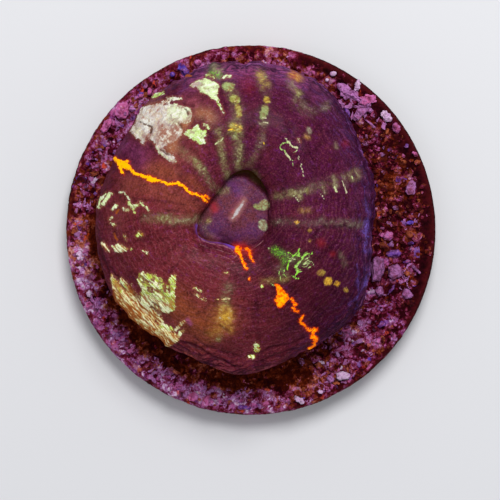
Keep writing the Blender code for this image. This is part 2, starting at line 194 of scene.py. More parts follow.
# Outlines of the broad pale patches: how lime each is, from cream to lime, then its corners.
PALE_AREAS = [
    (0.05, (-32.8, 26.8), (-32.4, 28.0), (-31.5, 28.2), (-30.9, 29.7), (-30.5, 31.0),
     (-29.6, 32.0), (-28.6, 33.0), (-27.0, 33.7), (-25.9, 33.8), (-24.9, 34.1), (-23.2, 33.8),
     (-21.9, 34.1), (-20.3, 33.5), (-18.9, 33.0), (-17.8, 32.7), (-17.0, 31.9), (-15.9, 30.3),
     (-17.0, 30.1), (-18.1, 29.5), (-18.9, 28.7), (-18.5, 27.0), (-18.9, 25.6), (-20.4, 24.0),
     (-22.3, 22.9), (-23.6, 22.4), (-22.7, 21.0), (-20.8, 19.9), (-20.0, 18.8), (-21.0, 17.9),
     (-22.5, 18.7), (-24.0, 20.0), (-25.4, 21.6), (-25.9, 23.3), (-26.8, 24.3), (-28.1, 24.9),
     (-29.1, 23.1), (-29.9, 23.8), (-30.0, 24.6), (-31.1, 25.1), (-32.2, 26.0)),
    (0.6, (-16.6, 38.7), (-15.1, 40.3), (-14.0, 40.9), (-12.4, 41.1), (-11.3, 40.8),
     (-9.7, 40.1), (-8.6, 39.0), (-8.7, 38.1), (-9.1, 37.0), (-8.9, 35.6), (-8.7, 35.1),
     (-9.5, 34.8), (-10.4, 35.2), (-11.5, 36.4), (-12.9, 37.0), (-13.8, 37.3), (-14.4, 38.1),
     (-15.1, 38.6), (-16.0, 38.5)),
    (0.78, (-18.2, 26.0), (-17.3, 27.0), (-15.9, 27.3), (-14.5, 28.6), (-14.1, 28.1),
     (-13.6, 26.8), (-12.4, 27.0), (-12.0, 25.8), (-12.7, 24.9), (-12.3, 23.4), (-13.8, 23.2),
     (-14.7, 23.9), (-16.1, 24.6), (-17.2, 25.1)),
    (0.3, (-38.2, -11.8), (-37.4, -12.4), (-37.0, -13.9), (-36.1, -14.5), (-35.7, -13.0),
     (-34.9, -12.8), (-33.8, -13.8), (-33.2, -15.1), (-32.4, -14.7), (-31.6, -16.2),
     (-30.5, -17.7), (-29.5, -18.9), (-28.1, -19.0), (-27.0, -19.7), (-25.4, -21.1),
     (-23.8, -22.4), (-25.1, -23.8), (-25.9, -24.6), (-25.1, -25.9), (-23.5, -25.5),
     (-23.0, -26.5), (-21.6, -27.3), (-20.5, -27.8), (-19.5, -29.7), (-20.3, -30.5),
     (-21.9, -31.3), (-23.5, -30.8), (-25.4, -29.6), (-27.6, -28.0), (-30.0, -26.1),
     (-32.4, -24.0), (-34.5, -21.6), (-36.2, -19.0), (-37.4, -16.2), (-38.0, -13.8)),
    (0.82, (-30.8, -13.2), (-30.0, -12.2), (-29.1, -11.2), (-28.1, -11.6), (-27.0, -11.6),
     (-25.7, -12.2), (-24.9, -13.2), (-24.2, -12.7), (-23.6, -13.5), (-23.0, -15.4),
     (-22.4, -13.8), (-21.6, -12.4), (-20.5, -12.0), (-20.1, -13.2), (-20.3, -15.1),
     (-20.7, -17.0), (-20.4, -18.6), (-21.1, -20.0), (-20.4, -21.6), (-21.2, -22.0),
     (-23.0, -21.8), (-24.6, -21.9), (-26.5, -21.3), (-28.1, -20.5), (-29.7, -18.9),
     (-30.0, -17.3), (-29.2, -16.2), (-30.3, -14.9)),
    (0.5, (-37.4, -4.3), (-35.9, -3.6), (-34.9, -3.8), (-33.8, -4.7), (-33.0, -5.1),
     (-33.8, -5.7), (-35.4, -6.1), (-36.6, -5.9), (-37.0, -5.0)),
]

# Within a broad patch a mark keeps its own tint where the point lies deeper in it than this.
STROKE_DEPTH = 0.2
# The depth that stands for a point far outside every mark.
OUTSIDE = -9.0

# Half width, then how lime the mark is, from cream to lime.
PALE_PATCHES = [
    (2.3, 0.36, (-20.6, 31.8), (-18.0, 31.0)), (1.0, 0.3, (-22.6, 30.0), (-20.0, 28.8)),
    (0.9, 0.28, (-31.2, 27.2), (-29.8, 25.9)),
    (0.4, 0.45, (-25.4, 22.4), (-24.4, 20.8), (-22.4, 19.3), (-20.6, 18.6)),
    (0.3, 0.55, (-17.0, 32.6), (-16.2, 30.8)), (0.9, 0.05, (-15.2, 39.2), (-14.2, 39.6)),
    (0.22, 0.8, (-9.2, 34.9), (-8.5, 33.7), (-7.6, 31.5)),
    (0.22, 0.95, (-12.0, 41.7), (-11.4, 42.0), (-10.1, 41.2)),
    (0.28, 0.55, (-7.3, 41.4), (-6.5, 41.8), (-5.4, 41.6)),
    (0.35, 0.7, (-12.6, 28.4), (-11.9, 28.1), (-11.2, 27.4)),
    (0.4, 0.85, (-26.2, 35.7), (-25.1, 36.6), (-23.8, 37.0)),
    (0.32, 0.3, (-22.4, 35.4), (-20.3, 35.5), (-18.9, 35.4)),
    (0.25, 0.1, (-23.8, 34.3), (-22.2, 34.7)), (0.8, 0.25, (-25.0, -24.0), (-24.4, -25.0)),
    (0.8, 0.05, (-22.5, -30.2), (-20.8, -29.9)), (0.7, 0.8, (-24.6, -26.0), (-22.0, -26.8)),
    (0.9, 0.9, (-23.6, -16.5), (-22.2, -18.2), (-21.2, -20.4)),
    (0.5, 0.95, (-20.8, -13.0), (-21.4, -16.4)),
    (1.5, 0.5, (-28.4, -18.8), (-25.0, -20.2), (-22.8, -21.0)),
    (0.7, 0.85, (-37.2, -13.8), (-35.2, -16.5)), (0.6, 0.8, (-34.8, -13.8), (-33.2, -16.0)),
    (0.7, 0.95, (-29.6, -12.4), (-27.2, -12.4)),
    (0.45, 0.12, (-20.5, -27.3), (-19.7, -26.3), (-18.2, -24.9)),
    (0.4, 0.55, (-19.7, -29.2), (-19.2, -27.8), (-18.2, -27.2)),
    (0.3, 0.65, (-41.2, 6.2), (-40.8, 8.4), (-39.5, 9.7)),
    (0.5, 0.6, (-40.1, 7.2), (-39.2, 8.4), (-38.2, 10.0)), (0.4, 0.68, (-37.4, 5.4), (-36.5, 6.5)),
    (0.2, 0.5, (-35.4, 10.3), (-34.1, 10.0), (-32.8, 8.4)),
    (0.38, 0.75, (-33.0, 7.4), (-32.4, 6.5), (-31.9, 6.0), (-30.8, 6.8)),
    (0.3, 0.8, (-32.0, 6.5), (-31.6, 4.6)), (0.28, 0.65, (-30.0, 7.6), (-28.9, 6.5), (-27.6, 5.1)),
    (0.4, 0.45, (-34.3, 5.7), (-33.2, 5.4)), (0.2, 0.5, (-38.2, 3.1), (-37.6, 3.4)),
    (0.3, 0.6, (-37.8, 1.9), (-37.0, 1.2)),
    (0.4, 0.95, (-30.7, -1.6), (-30.0, -0.8), (-29.5, -1.3)),
    (0.18, 0.8, (-34.3, -1.5), (-33.8, -2.7)),
    (0.38, 0.0, (-40.3, -3.5), (-39.5, -4.3), (-38.5, -5.5)), (0.25, 0.9, (-32.4, -5.4)),
    (0.2, 0.6, (-29.2, -5.7), (-28.0, -6.3)), (0.28, 0.6, (-15.3, -15.8), (-13.6, -16.6)),
    (0.26, 0.6, (-15.0, -17.3), (-13.6, -18.2)), (0.24, 0.7, (-13.1, -18.5), (-12.5, -18.8)),
    (0.22, 0.9, (-7.2, -11.6), (-6.2, -11.6)), (0.8, 0.88, (1.5, -31.2), (1.6, -32.4)),
    (0.3, 0.95, (-0.6, -34.2), (0.8, -34.2)), (0.24, 0.6, (12.8, 24.7), (13.2, 23.9)),
    (0.38, 1.0, (2.9, -15.3)), (0.2, 0.1, (-6.8, -11.5)),
]

# Where thin skin shows pinkish brown: half width and strength.
VEILS = [
    (2.2, 0.95, (-23.8, 27.0), (-21.4, 26.2), (-19.7, 27.6)),
    (1.6, 0.95, (-21.4, 24.4), (-21.4, 22.0)),
    (1.7, 0.8, (-13.8, 31.6), (-11.7, 31.4), (-11.0, 30.2)),
    (1.2, 0.4, (-31.4, 27.6), (-29.2, 25.4)), (1.5, 0.8, (-24.8, 24.4), (-22.6, 24.6)),
    (0.8, 0.8, (-17.6, 28.7), (-16.8, 29.5)), (0.5, 0.6, (-14.5, 39.4), (-11.4, 37.6)),
    (1.0, 0.35, (-27.4, 33.6), (-24.0, 34.2)),
]

# Where a patch breaks up into threads: half width and strength.
LACES = [
    (2.6, 1.0, (-28.2, -13.4), (-25.2, -14.8)), (1.0, 0.5, (-25.6, -16.6), (-27.2, -16.4)),
    (1.1, 0.9, (-22.6, -15.0), (-22.3, -17.0)), (0.8, 0.5, (-34.4, 5.6), (-31.6, 5.8)),
]

# Dark cracks in the patches, and streaks of rust between their ridges.
CRACKS = [
    (0.22, (-29.6, 29.1), (-28.1, 28.4), (-26.8, 27.8)), (0.4, (-26.9, 27.4), (-27.0, 26.4)),
    (0.2, (-24.6, 21.9), (-22.7, 20.5), (-21.4, 20.0)), (0.16, (-17.8, 32.7), (-16.8, 31.1)),
    (0.3, (-19.2, 28.7), (-18.6, 27.6)), (0.45, (-23.3, -13.8), (-22.4, -14.6)),
    (0.35, (-22.3, -16.0), (-22.1, -16.8)), (0.22, (-36.2, -12.4), (-35.4, -14.2), (-34.0, -16.4)),
    (0.22, (-32.9, -14.6), (-31.6, -17.0), (-30.0, -19.0)), (0.2, (-26.6, -19.6), (-24.4, -21.0)),
    (0.35, (-26.8, -20.8), (-24.8, -22.4), (-23.4, -23.2)),
]
RUST_STREAKS = [
    (0.28, (-37.4, -16.4), (-36.2, -19.2), (-34.2, -21.9), (-31.8, -24.3), (-29.4, -26.3),
     (-26.8, -28.2), (-23.6, -30.4)),
    (0.24, (-36.9, -15.0), (-35.0, -18.4), (-32.6, -21.2), (-29.8, -23.6), (-26.8, -26.2)),
    (0.22, (-34.6, -15.6), (-32.6, -18.6), (-30.0, -21.2), (-27.0, -23.4)),
    (0.2, (-31.8, -17.6), (-29.6, -20.4), (-27.2, -22.2)),
    (0.25, (-20.2, 40.7), (-18.5, 41.3), (-16.5, 42.0)), (0.2, (-37.0, -1.0), (-36.1, -2.7)),
    (0.25, (-36.4, 4.6), (-35.8, 5.4)),
]

# Half width, then strength and how golden the glow is, from olive to gold.
SOFT_GLOWS = [
    (1.2, 0.55, 0.1, (-8.5, 42.9), (-10.0, 43.3)),
    (1.4, 0.3, 0.2, (-6.1, 38.9), (-4.5, 35.3), (-3.5, 32.0), (-4.1, 27.8), (-3.6, 22.0),
     (-3.3, 17.2)),
    (1.6, 0.45, 0.5, (-5.0, 27.4), (-4.2, 27.0)), (0.9, 0.4, 0.4, (-4.0, 25.2)),
    (0.6, 0.5, 0.2, (-2.8, 22.7), (-3.6, 17.0)),
    (1.2, 0.1, 0.2, (3.0, 41.0), (4.2, 35.0), (3.6, 31.4), (3.3, 28.5), (2.8, 23.0),
     (1.2, 20.8), (-0.2, 17.6)),
    (1.2, 0.75, 0.7, (2.4, 41.8), (3.6, 39.4)), (0.5, 0.55, 0.1, (2.7, 28.9), (4.3, 28.8)),
    (0.9, 0.3, 0.0, (3.0, 25.0), (2.6, 22.8)), (0.7, 0.14, 0.2, (1.2, 20.8), (-0.2, 17.6)),
    (0.9, 0.55, 0.2, (-8.9, 26.6), (-8.2, 22.6), (-7.6, 18.9), (-6.5, 14.6)),
    (0.9, 0.3, 0.15, (-14.9, 17.6), (-12.4, 14.9), (-10.0, 11.6)),
    (0.8, 0.6, 0.25, (-15.4, 18.9), (-12.8, 16.2)), (1.2, 0.2, 0.2, (-19.0, 21.6), (-16.6, 19.6)),
    (0.9, 0.38, 0.1, (-28.6, 3.2), (-27.4, 3.3)), (1.1, 0.4, 0.3, (-24.4, 3.2), (-21.8, 3.0)),
    (0.9, 0.34, 0.1, (-20.0, 2.5), (-17.8, 2.5), (-14.4, 2.9)),
    (1.2, 0.16, 0.2, (-27.0, 3.0), (-14.4, 2.9)), (0.7, 0.35, 0.2, (6.5, 9.3), (8.0, 9.2)),
    (0.9, 0.45, 0.2, (10.3, 9.6)), (0.8, 0.65, 0.2, (11.4, 10.1), (13.1, 8.9)),
    (0.5, 0.55, 0.1, (13.0, 10.4), (14.5, 10.5)), (0.4, 0.5, 0.6, (15.1, 11.1), (15.3, 10.1)),
    (0.5, 0.4, 0.0, (16.2, 11.9)), (0.6, 0.45, 0.1, (19.1, 11.6), (19.9, 10.3)),
    (0.8, 0.55, 0.1, (22.2, 13.8), (23.0, 11.9)), (0.5, 0.35, 0.0, (24.9, 14.3), (25.7, 11.6)),
    (0.8, 0.4, 0.2, (26.5, 14.9), (27.6, 13.8)), (0.8, 0.32, 0.2, (28.1, 16.0), (29.2, 14.6)),
    (1.3, 0.12, 0.2, (6.5, 9.3), (17.0, 11.5), (29.0, 15.3)),
    (1.1, 0.14, 0.0, (6.5, 2.3), (29.5, 1.5)), (0.5, 0.4, 0.0, (7.3, 2.3)),
    (0.8, 0.26, 0.0, (19.3, 3.0)), (0.6, 0.22, 0.0, (21.6, 2.4)), (0.8, 0.3, 0.0, (23.9, 2.4)),
    (0.9, 0.24, 0.0, (26.2, 1.6), (29.2, 1.4)), (0.8, 0.3, 0.9, (13.5, 5.3), (15.7, 5.4)),
    (1.2, 0.75, 1.0, (11.4, 42.0), (12.8, 41.2)), (1.2, 0.45, 0.1, (10.8, 39.6)),
    (0.9, 0.5, 0.5, (12.0, 37.8), (13.0, 36.4)), (1.6, 0.18, 0.1, (12.2, 34.6), (15.8, 32.0)),
    (1.2, 0.26, 0.1, (20.0, 33.2)), (0.6, 0.5, 0.1, (23.0, 23.2), (23.0, 22.4)),
    (0.6, 0.4, 0.9, (14.6, 25.3), (15.5, 24.9)), (0.5, 1.6, 0.0, (15.5, 27.0), (15.8, 26.5)),
    (1.3, 0.3, 0.1, (-6.6, -16.8), (-6.0, -15.4)), (1.2, 0.45, 0.4, (-7.0, -19.4), (-7.0, -21.4)),
    (1.3, 3.2, 0.9, (-7.0, -22.2), (-6.8, -24.0)), (2.2, 0.2, 0.9, (-9.0, -22.7), (-8.6, -25.0)),
    (0.9, 0.8, 0.95, (-5.6, -26.9)), (1.6, 0.35, 1.0, (-10.4, -28.0), (-8.8, -27.4)),
    (0.7, 0.5, 0.5, (-8.8, -29.7)), (0.7, 0.22, 0.1, (24.3, -6.5), (25.4, -9.6)),
    (1.6, 0.14, 0.1, (9.4, -7.6), (14.4, -8.4)), (1.2, 0.15, 0.1, (7.6, -10.6), (9.4, -12.4)),
    (0.8, 0.3, 0.7, (3.0, -13.8), (6.5, -13.5), (9.5, -13.2)),
    (0.9, 0.45, 0.2, (-8.4, 10.3), (-6.5, 10.8)), (0.7, 0.75, 0.6, (-11.5, 2.4)),
    (0.8, 0.22, 0.2, (-12.6, 0.6)), (0.9, 0.45, 0.4, (1.0, 15.2), (1.6, 13.9)),
    (0.8, 0.12, 0.3, (-11.8, -0.9), (-10.4, -1.4)),
]

# Crisp round spots under the skin: half width, strength and how golden the spot is.
ROUND_SPOTS = [
    (1.45, 0.95, 0.05, (3.6, 6.8)), (0.65, 0.8, 0.15, (1.1, 6.4), (2.2, 6.0)),
    (1.1, 0.85, 0.0, (3.2, 1.6), (3.4, 1.0)), (1.05, 0.6, 0.7, (18.9, -11.6)),
    (1.15, 0.95, 0.9, (20.9, -13.8)), (0.7, 1.0, 1.0, (23.3, -14.5)),
    (0.6, 0.7, 0.8, (25.8, -16.2)), (1.1, 0.95, 0.12, (-6.6, 38.9), (-5.6, 38.7)),
    (1.05, 0.7, 0.35, (-4.8, 35.4), (-4.0, 35.2)), (0.75, 0.65, 0.5, (-3.7, 33.2), (-3.2, 31.0)),
    (1.2, 0.6, 0.6, (-4.8, 27.8), (-3.6, 27.4)), (0.95, 0.85, 0.65, (4.3, 35.1)),
    (0.95, 0.7, 0.14, (3.3, 30.9), (3.9, 32.6)), (0.45, 0.7, 0.1, (3.8, 41.2)),
    (0.45, 0.95, 1.0, (12.5, 2.2)), (0.6, 0.4, 0.9, (15.8, -0.2)), (0.4, 0.5, 0.9, (16.0, -2.9)),
    (0.8, 0.8, 0.9, (-6.9, -22.5), (-6.8, -23.7)),
]

# Green haze: half width and strength.
MOSSES = [
    (1.0, 0.85, (6.5, -5.5), (8.1, -6.5), (9.1, -7.8)), (0.7, 0.25, (8.8, -9.0), (8.6, -10.8)),
    (1.2, 0.18, (11.0, -7.6), (14.4, -8.6)), (0.8, 0.4, (-30.2, -1.4)),
    (1.2, 0.5, (-11.0, 42.3), (-8.8, 42.0)),
]

# Red blushes: half width and strength.
BLUSHES = [
    (0.9, 0.85, (-10.3, 7.0), (-9.6, 5.4)), (0.4, 0.6, (-4.9, 5.2)), (0.35, 0.6, (-3.3, 3.9)),
    (0.9, 0.7, (-4.3, -4.0), (-2.2, -4.3)), (1.3, 0.7, (-3.4, -5.4), (-0.4, -5.8)),
    (1.2, 0.4, (18.9, -3.5)), (0.9, 0.3, (25.5, 23.5)), (1.2, 0.5, (8.4, -18.0)),
    (1.2, 0.45, (11.6, 42.0)), (0.8, 0.4, (14.6, -26.0)), (1.0, 0.5, (-26.5, 13.6)),
    (1.2, 0.4, (-34.4, 17.4)), (1.9, 0.22, (-1.1, 40.0), (-0.3, 38.4)),
    (0.4, 0.7, (-9.2, 39.6)), (0.8, 0.4, (22.0, -6.5)),
]

# Broad tints of the skin: half width, strength and hue, from brown through pink to violet.
SKIN_TINTS = [
    (2.8, 0.95, 0.5, (-16.0, 41.0), (-8.0, 43.8), (2.0, 44.2), (10.0, 42.8), (18.0, 38.8)),
    (3.4, 0.42, 0.75, (-34.6, 22.6), (-31.0, 20.6)), (1.5, 0.6, 0.9, (-17.5, 42.6), (-13.5, 44.2)),
    (1.6, 0.35, 0.9, (1.0, -1.6), (-3.6, -0.8)),
    (1.5, 0.45, 0.95, (-11.0, 0.2), (-8.2, -2.2), (-4.4, -3.0)),
    (1.3, 0.45, 0.9, (-5.6, 12.6), (-3.6, 10.4)), (0.9, 0.5, 0.0, (-11.0, -1.8), (-9.2, -2.6)),
    (1.2, 0.4, 0.15, (-5.6, 4.2), (-2.6, 8.2)), (3.0, 0.3, 0.1, (-24.0, 16.6), (-17.0, 21.0)),
    (2.6, 0.45, 0.2, (-18.4, 33.6), (-14.6, 34.6)),
    (4.6, 0.78, 0.0, (-8.0, -24.0), (-13.0, -26.5), (-20.0, -20.0)),
    (1.8, 0.45, 0.0, (-13.8, 11.2), (-16.6, 13.6)),
    (3.0, 0.5, 0.05, (-33.0, 12.6), (-25.0, 11.0), (-16.0, 6.6)),
    (2.2, 0.45, 0.0, (-27.0, 17.0), (-21.0, 15.0)),
    (0.5, 0.75, 0.75, (-17.2, -24.2), (-16.2, -25.4)),
    (2.5, 0.35, 0.1, (-36.8, 2.0), (-35.6, 6.0)), (1.2, 0.5, 0.0, (-18.2, 28.4), (-17.0, 29.4)),
]

# Half width and depth in millimetres, then the points of each crease. The creases are dented and
# also painted dark as shade.
CREASES = [
    (0.35, 0.4, (17.3, -1.6), (17.6, -0.5), (18.6, 0.5), (20.0, 1.0), (22.7, 0.5), (25.4, 0.5),
     (27.0, 0.3)),
    (0.35, 0.3, (-5.8, -20.8), (-1.5, -21.1), (3.0, -20.9), (6.5, -20.6), (10.5, -19.8)),
    (0.3, 0.3, (-8.6, -25.9), (-7.3, -27.0), (-5.8, -27.7)),
    (0.45, 0.45, (-37.8, -10.2), (-37.0, -12.0), (-36.0, -13.6)),
    (0.4, 0.55, (-19.0, -29.8), (-16.5, -31.2), (-13.8, -32.5), (-10.5, -34.2), (-7.8, -35.4),
     (-4.2, -36.6)),
    (0.3, 0.3, (-16.0, -29.4), (-12.0, -31.6), (-8.0, -33.4), (-3.0, -34.6)),
    (0.35, 0.45, (-1.5, -34.8), (2.5, -33.4), (6.5, -32.2), (10.5, -31.0), (14.5, -28.8)),
    (0.4, 0.4, (1.0, -36.2), (6.0, -34.6), (11.0, -32.6)),
    (0.4, 0.45, (27.0, -17.4), (28.0, -19.0), (28.8, -20.6)),
    (0.4, 0.4, (30.2, -2.8), (30.6, -8.8), (30.8, -12.8), (29.8, -17.8)),
    (0.35, 0.3, (28.8, -1.0), (29.2, -7.0), (29.2, -13.0)),
    (0.45, 0.4, (-40.6, -2.8), (-40.0, -8.0), (-38.4, -12.8)),
    (0.4, 0.3, (-13.6, -4.2), (-10.5, -4.6), (-7.8, -5.2), (-6.2, -6.0)),
    (0.3, 0.4, (-8.4, -1.8), (-6.2, -2.6), (-4.0, -3.6)),
    (0.35, 0.35, (-19.5, 34.2), (-17.0, 34.0), (-15.5, 33.2)),
]

# Painted blue highlights on the crests along the margin: half width and strength.
CREST_HIGHLIGHTS = [
    (0.8, 0.62, (31.4, 2.0), (31.0, -5.4), (30.5, -8.6), (31.4, -12.2), (31.4, -14.9)),
    (0.5, 0.55, (31.4, -14.9), (30.6, -17.2), (28.8, -19.0), (26.8, -19.8)),
    (0.7, 0.5, (31.6, 12.8), (32.0, 5.4), (31.5, 1.4), (30.8, -1.6)),
    (0.3, 0.45, (28.6, -22.4), (29.4, -19.2), (29.2, -14.6), (28.4, -9.0)),
]

# The slit of the mouth, and the points of the violet line on the pit's lip: a painted highlight
# along the lip's edge.
MOUTH_SLIT = [
    (0.18, (-5.0, 3.2), (-4.4, 3.9)), (0.42, (-4.2, 4.2), (-3.3, 5.6)),
    (0.28, (-3.1, 5.9), (-2.4, 6.9)), (0.06, (-2.3, 7.1), (-1.9, 8.0)),
]
LIP_LINE = [
    (-14.6, 1.2), (-14.4, -0.5), (-13.6, -1.6), (-12.8, -2.3), (-10.8, -2.8), (-8.9, -3.1),
    (-7.6, -3.2), (-5.9, -4.2), (-4.7, -4.8),
]
# Half width and strength of the thin pale ripples that follow the lip.
RIPPLES = [
    (0.04, 0.7, (-4.6, -5.0), (-2.2, -5.6), (0.3, -5.0), (1.9, -4.0), (3.2, -2.8)),
    (0.04, 0.75, (-14.0, -0.7), (-12.8, -2.8), (-10.3, -3.6), (-7.5, -4.2), (-5.4, -5.2),
     (-3.4, -7.3)),
    (0.04, 0.65, (-15.0, 5.0), (-14.6, 0.5), (-13.4, -4.0), (-11.2, -4.8), (-8.3, -5.2),
     (-5.8, -6.4), (-4.2, -7.7)),
    (0.04, 0.6, (-4.2, -7.3), (-2.2, -7.7), (0.3, -8.1)),
    (0.03, 0.5, (-16.5, -4.0), (-14.0, -5.6), (-11.2, -6.3), (-8.3, -6.7), (-6.2, -7.7),
     (-4.2, -9.3), (-2.6, -9.7)),
    (0.02, 0.4, (-16.5, -7.7), (-14.0, -8.9), (-11.2, -9.3), (-8.3, -9.7), (-5.4, -10.5),
     (-3.0, -11.6)),
    (0.02, 0.35, (-16.5, -10.5), (-12.4, -12.2), (-8.3, -12.8), (-4.2, -13.4)),
]


# ---------------- numbers
# Large odd numbers that scramble a cell's place into a random value.
CELL_PRIMES = np.array([73856093, 19349663, 83492791])
SEED_PRIME = 2654435761
MIXING_PRIME = 1274126177


def shade(red, green, blue):
    """A colour given from 0 to 255, as the linear values that Blender keeps."""
    return tuple((channel / 255.0) ** 2.2 for channel in (red, green, blue))


def swell(angle, middle, half_width):
    """A smooth bump over the angle, 1 at its middle and 0 past its half width, in degrees."""
    away = np.abs((angle - math.radians(middle) + math.pi) % math.tau - math.pi)
    share = np.minimum(away / math.radians(half_width), 1.0)
    return 0.5 + 0.5 * np.cos(math.pi * share)


def ease(value, low, high):
    """Rises smoothly from 0 at low to 1 at high."""
    share = np.clip((value - low) / (high - low), 0.0, 1.0)
    return share * share * (3.0 - 2.0 * share)


def fade(value, low, high):
    """Falls smoothly from 1 at low to 0 at high."""
    return 1.0 - ease(value, low, high)


def corner_value(cell, seed):
    """A fixed random value from -1 to 1 for each whole-numbered cell."""
    mixed = cell @ CELL_PRIMES + seed * SEED_PRIME
    for _ in range(2):
        mixed = (mixed ^ (mixed >> 15)) * MIXING_PRIME
    return ((mixed >> 16) & 0xFFFF) / 32767.5 - 1.0


def lattice(places, seed):
    """Smooth random values from -1 to 1 that change over a distance of 1."""
    cell = np.floor(places).astype(np.int64)
    part = ease(places - cell, 0.0, 1.0)
    total = np.zeros(len(places))
    for corner in np.ndindex(2, 2, 2):
        weight = np.prod(np.where(corner, part, 1.0 - part), axis=1)
        total += weight * corner_value(cell + np.array(corner), seed)
    return total


def rough(places, size, octaves, seed):
    """Lumps of about the given size with finer ones on them, from about -1 to 1."""
    total = sum(0.5 ** i * lattice(places / size * 2 ** i + 7.3 * i, seed + i)
                for i in range(octaves))
    return total / (2.0 - 0.5 ** (octaves - 1))


def swaying(places, size, *seeds):
    """A smooth random shift in two directions, one for each seed."""
    return np.stack([rough(places, size, 2, seed) for seed in seeds], axis=1)


def chips(places, size, seed):
    """Distance from the border between random cells, and each cell's own value."""
    spot = places / size
    cell = np.floor(spot).astype(np.int64)
    near = np.full(len(spot), np.inf)
    second = near.copy()
    own = np.zeros(len(spot))
    for step in np.ndindex(3, 3, 3):
        home = cell + np.array(step) - 1
        jitter = np.stack([corner_value(home, seed + axis) for axis in range(3)], axis=1)
        away = np.linalg.norm(spot - home - 0.5 - 0.45 * jitter, axis=1)
        closer = away < near
        second = np.where(closer, near, np.minimum(second, away))
        own = np.where(closer, corner_value(home, seed + 3), own)
        near = np.where(closer, away, near)
    return second - near, own


def outline_curve(points):
    """Makes radius(angle) about the pit's centre, smooth and closed, through the points."""
    arms = np.array(points) * MM - PIT_CENTRE
    turn = np.arctan2(arms[:, 1], arms[:, 0]) % math.tau
    order = np.argsort(turn)
    turn = turn[order]
    length = np.hypot(arms[order, 0], arms[order, 1])
    turn = np.concatenate([turn[-2:] - math.tau, turn, turn[:2] + math.tau])
    length = np.concatenate([length[-2:], length, length[:2]])
    slope = (length[2:] - length[:-2]) / (turn[2:] - turn[:-2])

    def radius(angle):
        """The outline's reach at each angle."""
        angle = angle % math.tau
        k = np.clip(np.searchsorted(turn, angle, side="right") - 1, 1, len(turn) - 3)
        span = turn[k + 1] - turn[k]
        t = (angle - turn[k]) / span
        return (length[k] * (2 * t ** 3 - 3 * t ** 2 + 1)
                + slope[k - 1] * span * (t ** 3 - 2 * t ** 2 + t)
                + length[k + 1] * (3 * t ** 2 - 2 * t ** 3)
                + slope[k] * span * (t ** 3 - t ** 2))

    return radius


LIP_AT = outline_curve(PIT_LIP)
EDGE_AT = outline_curve(MANTLE_EDGE)


def along_stations(table, station):
    """Reads a table of stations by angle at a fractional station, on a smooth curve."""
    last = len(table) - 1
    at = np.clip(np.floor(station).astype(int), 0, last - 1)
    part = station - at
    column = np.arange(len(station))
    before = table[np.maximum(at - 1, 0), column]
    start = table[at, column]
    end = table[at + 1, column]
    after = table[np.minimum(at + 2, last), column]
    return start + 0.5 * part * (end - before + part * (
        2 * before - 5 * start + 4 * end - after + part * (3 * (start - end) + after - before)))


def seen_from_above(places):
    """Where points fall on the disc's top plane, seen from the lookout, in millimetres."""
    depth = (LOOKOUT[2] - DISC_TOP) / (LOOKOUT[2] - places[:, 2:])
    return (LOOKOUT[:2] + (places[:, :2] - LOOKOUT[:2]) * depth) / MM


def distance_to_line(plan, points):
    """Distance from each plan point to a line through points."""
    points = list(points) * 2 if len(points) == 1 else points
    best = np.full(len(plan), np.inf)
    for start, end in zip(points, points[1:]):
        run = np.subtract(end, start)
        arm = plan - np.array(start)
        share = np.clip(arm @ run / max(run @ run, 1e-9), 0.0, 1.0)
        gap = arm - share[:, None] * run
        best = np.minimum(best, reach_of(gap))
    return best


def marked(plan, marks, values=0):
    """How deep each point lies within the nearest mark, in mm, then that mark's values."""
    depth = np.full(len(plan), OUTSIDE)
    kept = [np.zeros(len(plan)) for _ in range(values)]
    for mark in marks:
        inside = mark[0] - distance_to_line(plan, mark[1 + values:])
        kept = [np.where(inside > depth, mark[1 + i], kept[i]) for i in range(values)]
        depth = np.maximum(depth, inside)
    return depth, *kept


def inside_outline(plan, points):
    """How deep each plan point lies inside a closed outline, in mm, below 0 outside it."""
    closed = [*points, points[0]]
    inside = np.zeros(len(plan), bool)
    for start, end in zip(closed, closed[1:]):
        if start[1] != end[1]:
            crosses = (plan[:, 1] < start[1]) != (plan[:, 1] < end[1])
            slant = (end[0] - start[0]) / (end[1] - start[1])
            inside ^= crosses & (plan[:, 0] < start[0] + (plan[:, 1] - start[1]) * slant)
    away = distance_to_line(plan, closed)
    return np.where(inside, away, -away)


def blended(plan, spots, values=1):
    """Adds up soft spots: their strength at each point, up to 1, and their mean value."""
    total = np.zeros(len(plan))
    weighed = np.zeros(len(plan))
    for width, strength, *rest in spots:
        part = strength * np.exp(-(distance_to_line(plan, rest[values:]) / width) ** 2)
        total += part
        weighed += part * (rest[0] if values else 0.0)
    return np.minimum(total, 1.0), weighed / np.maximum(total, 1e-6)


def deepest(plan, creases):
    """How deep the deepest crease is at each point, in millimetres."""
    depth = np.zeros(len(plan))
    for width, deep, *points in creases:
        depth = np.maximum(depth, deep * np.exp(-(distance_to_line(plan, points) / width) ** 2))
    return depth


def reach_of(plan):
    """Distance of plan points from the middle."""
    return np.hypot(plan[:, 0], plan[:, 1])


def along_and_across(plan, degrees):
    """How far each plan point lies along a direction and across it, in mm."""
    turn = math.radians(degrees)
    return plan @ np.array([[math.cos(turn), -math.sin(turn)], [math.sin(turn), math.cos(turn)]])


def square_to_round(places):
    """Turns points of a square grid into a ring number from 0 to 1 and an angle."""
    across, along = places[:, 0], places[:, 1]
    ring = np.maximum(np.abs(across), np.abs(along))
    flat = np.abs(across) >= np.abs(along)
    safe_across = np.where(across == 0, 1.0, across)
    safe_along = np.where(along == 0, 1.0, along)
    angle = np.where(flat, np.pi / 4 * along / safe_across,
                     np.pi / 2 - np.pi / 4 * across / safe_along)
    behind = np.where(flat, across < 0, along < 0)
    return ring, (angle + np.pi * behind) % math.tau


# ---------------- meshes
def corners_of(mesh, key="co"):
    """A mesh's corner points as rows of x, y and z, or its normals there."""
    flat = np.empty(3 * len(mesh.vertices))
    mesh.vertices.foreach_get(key, flat)
    return flat.reshape(-1, 3)


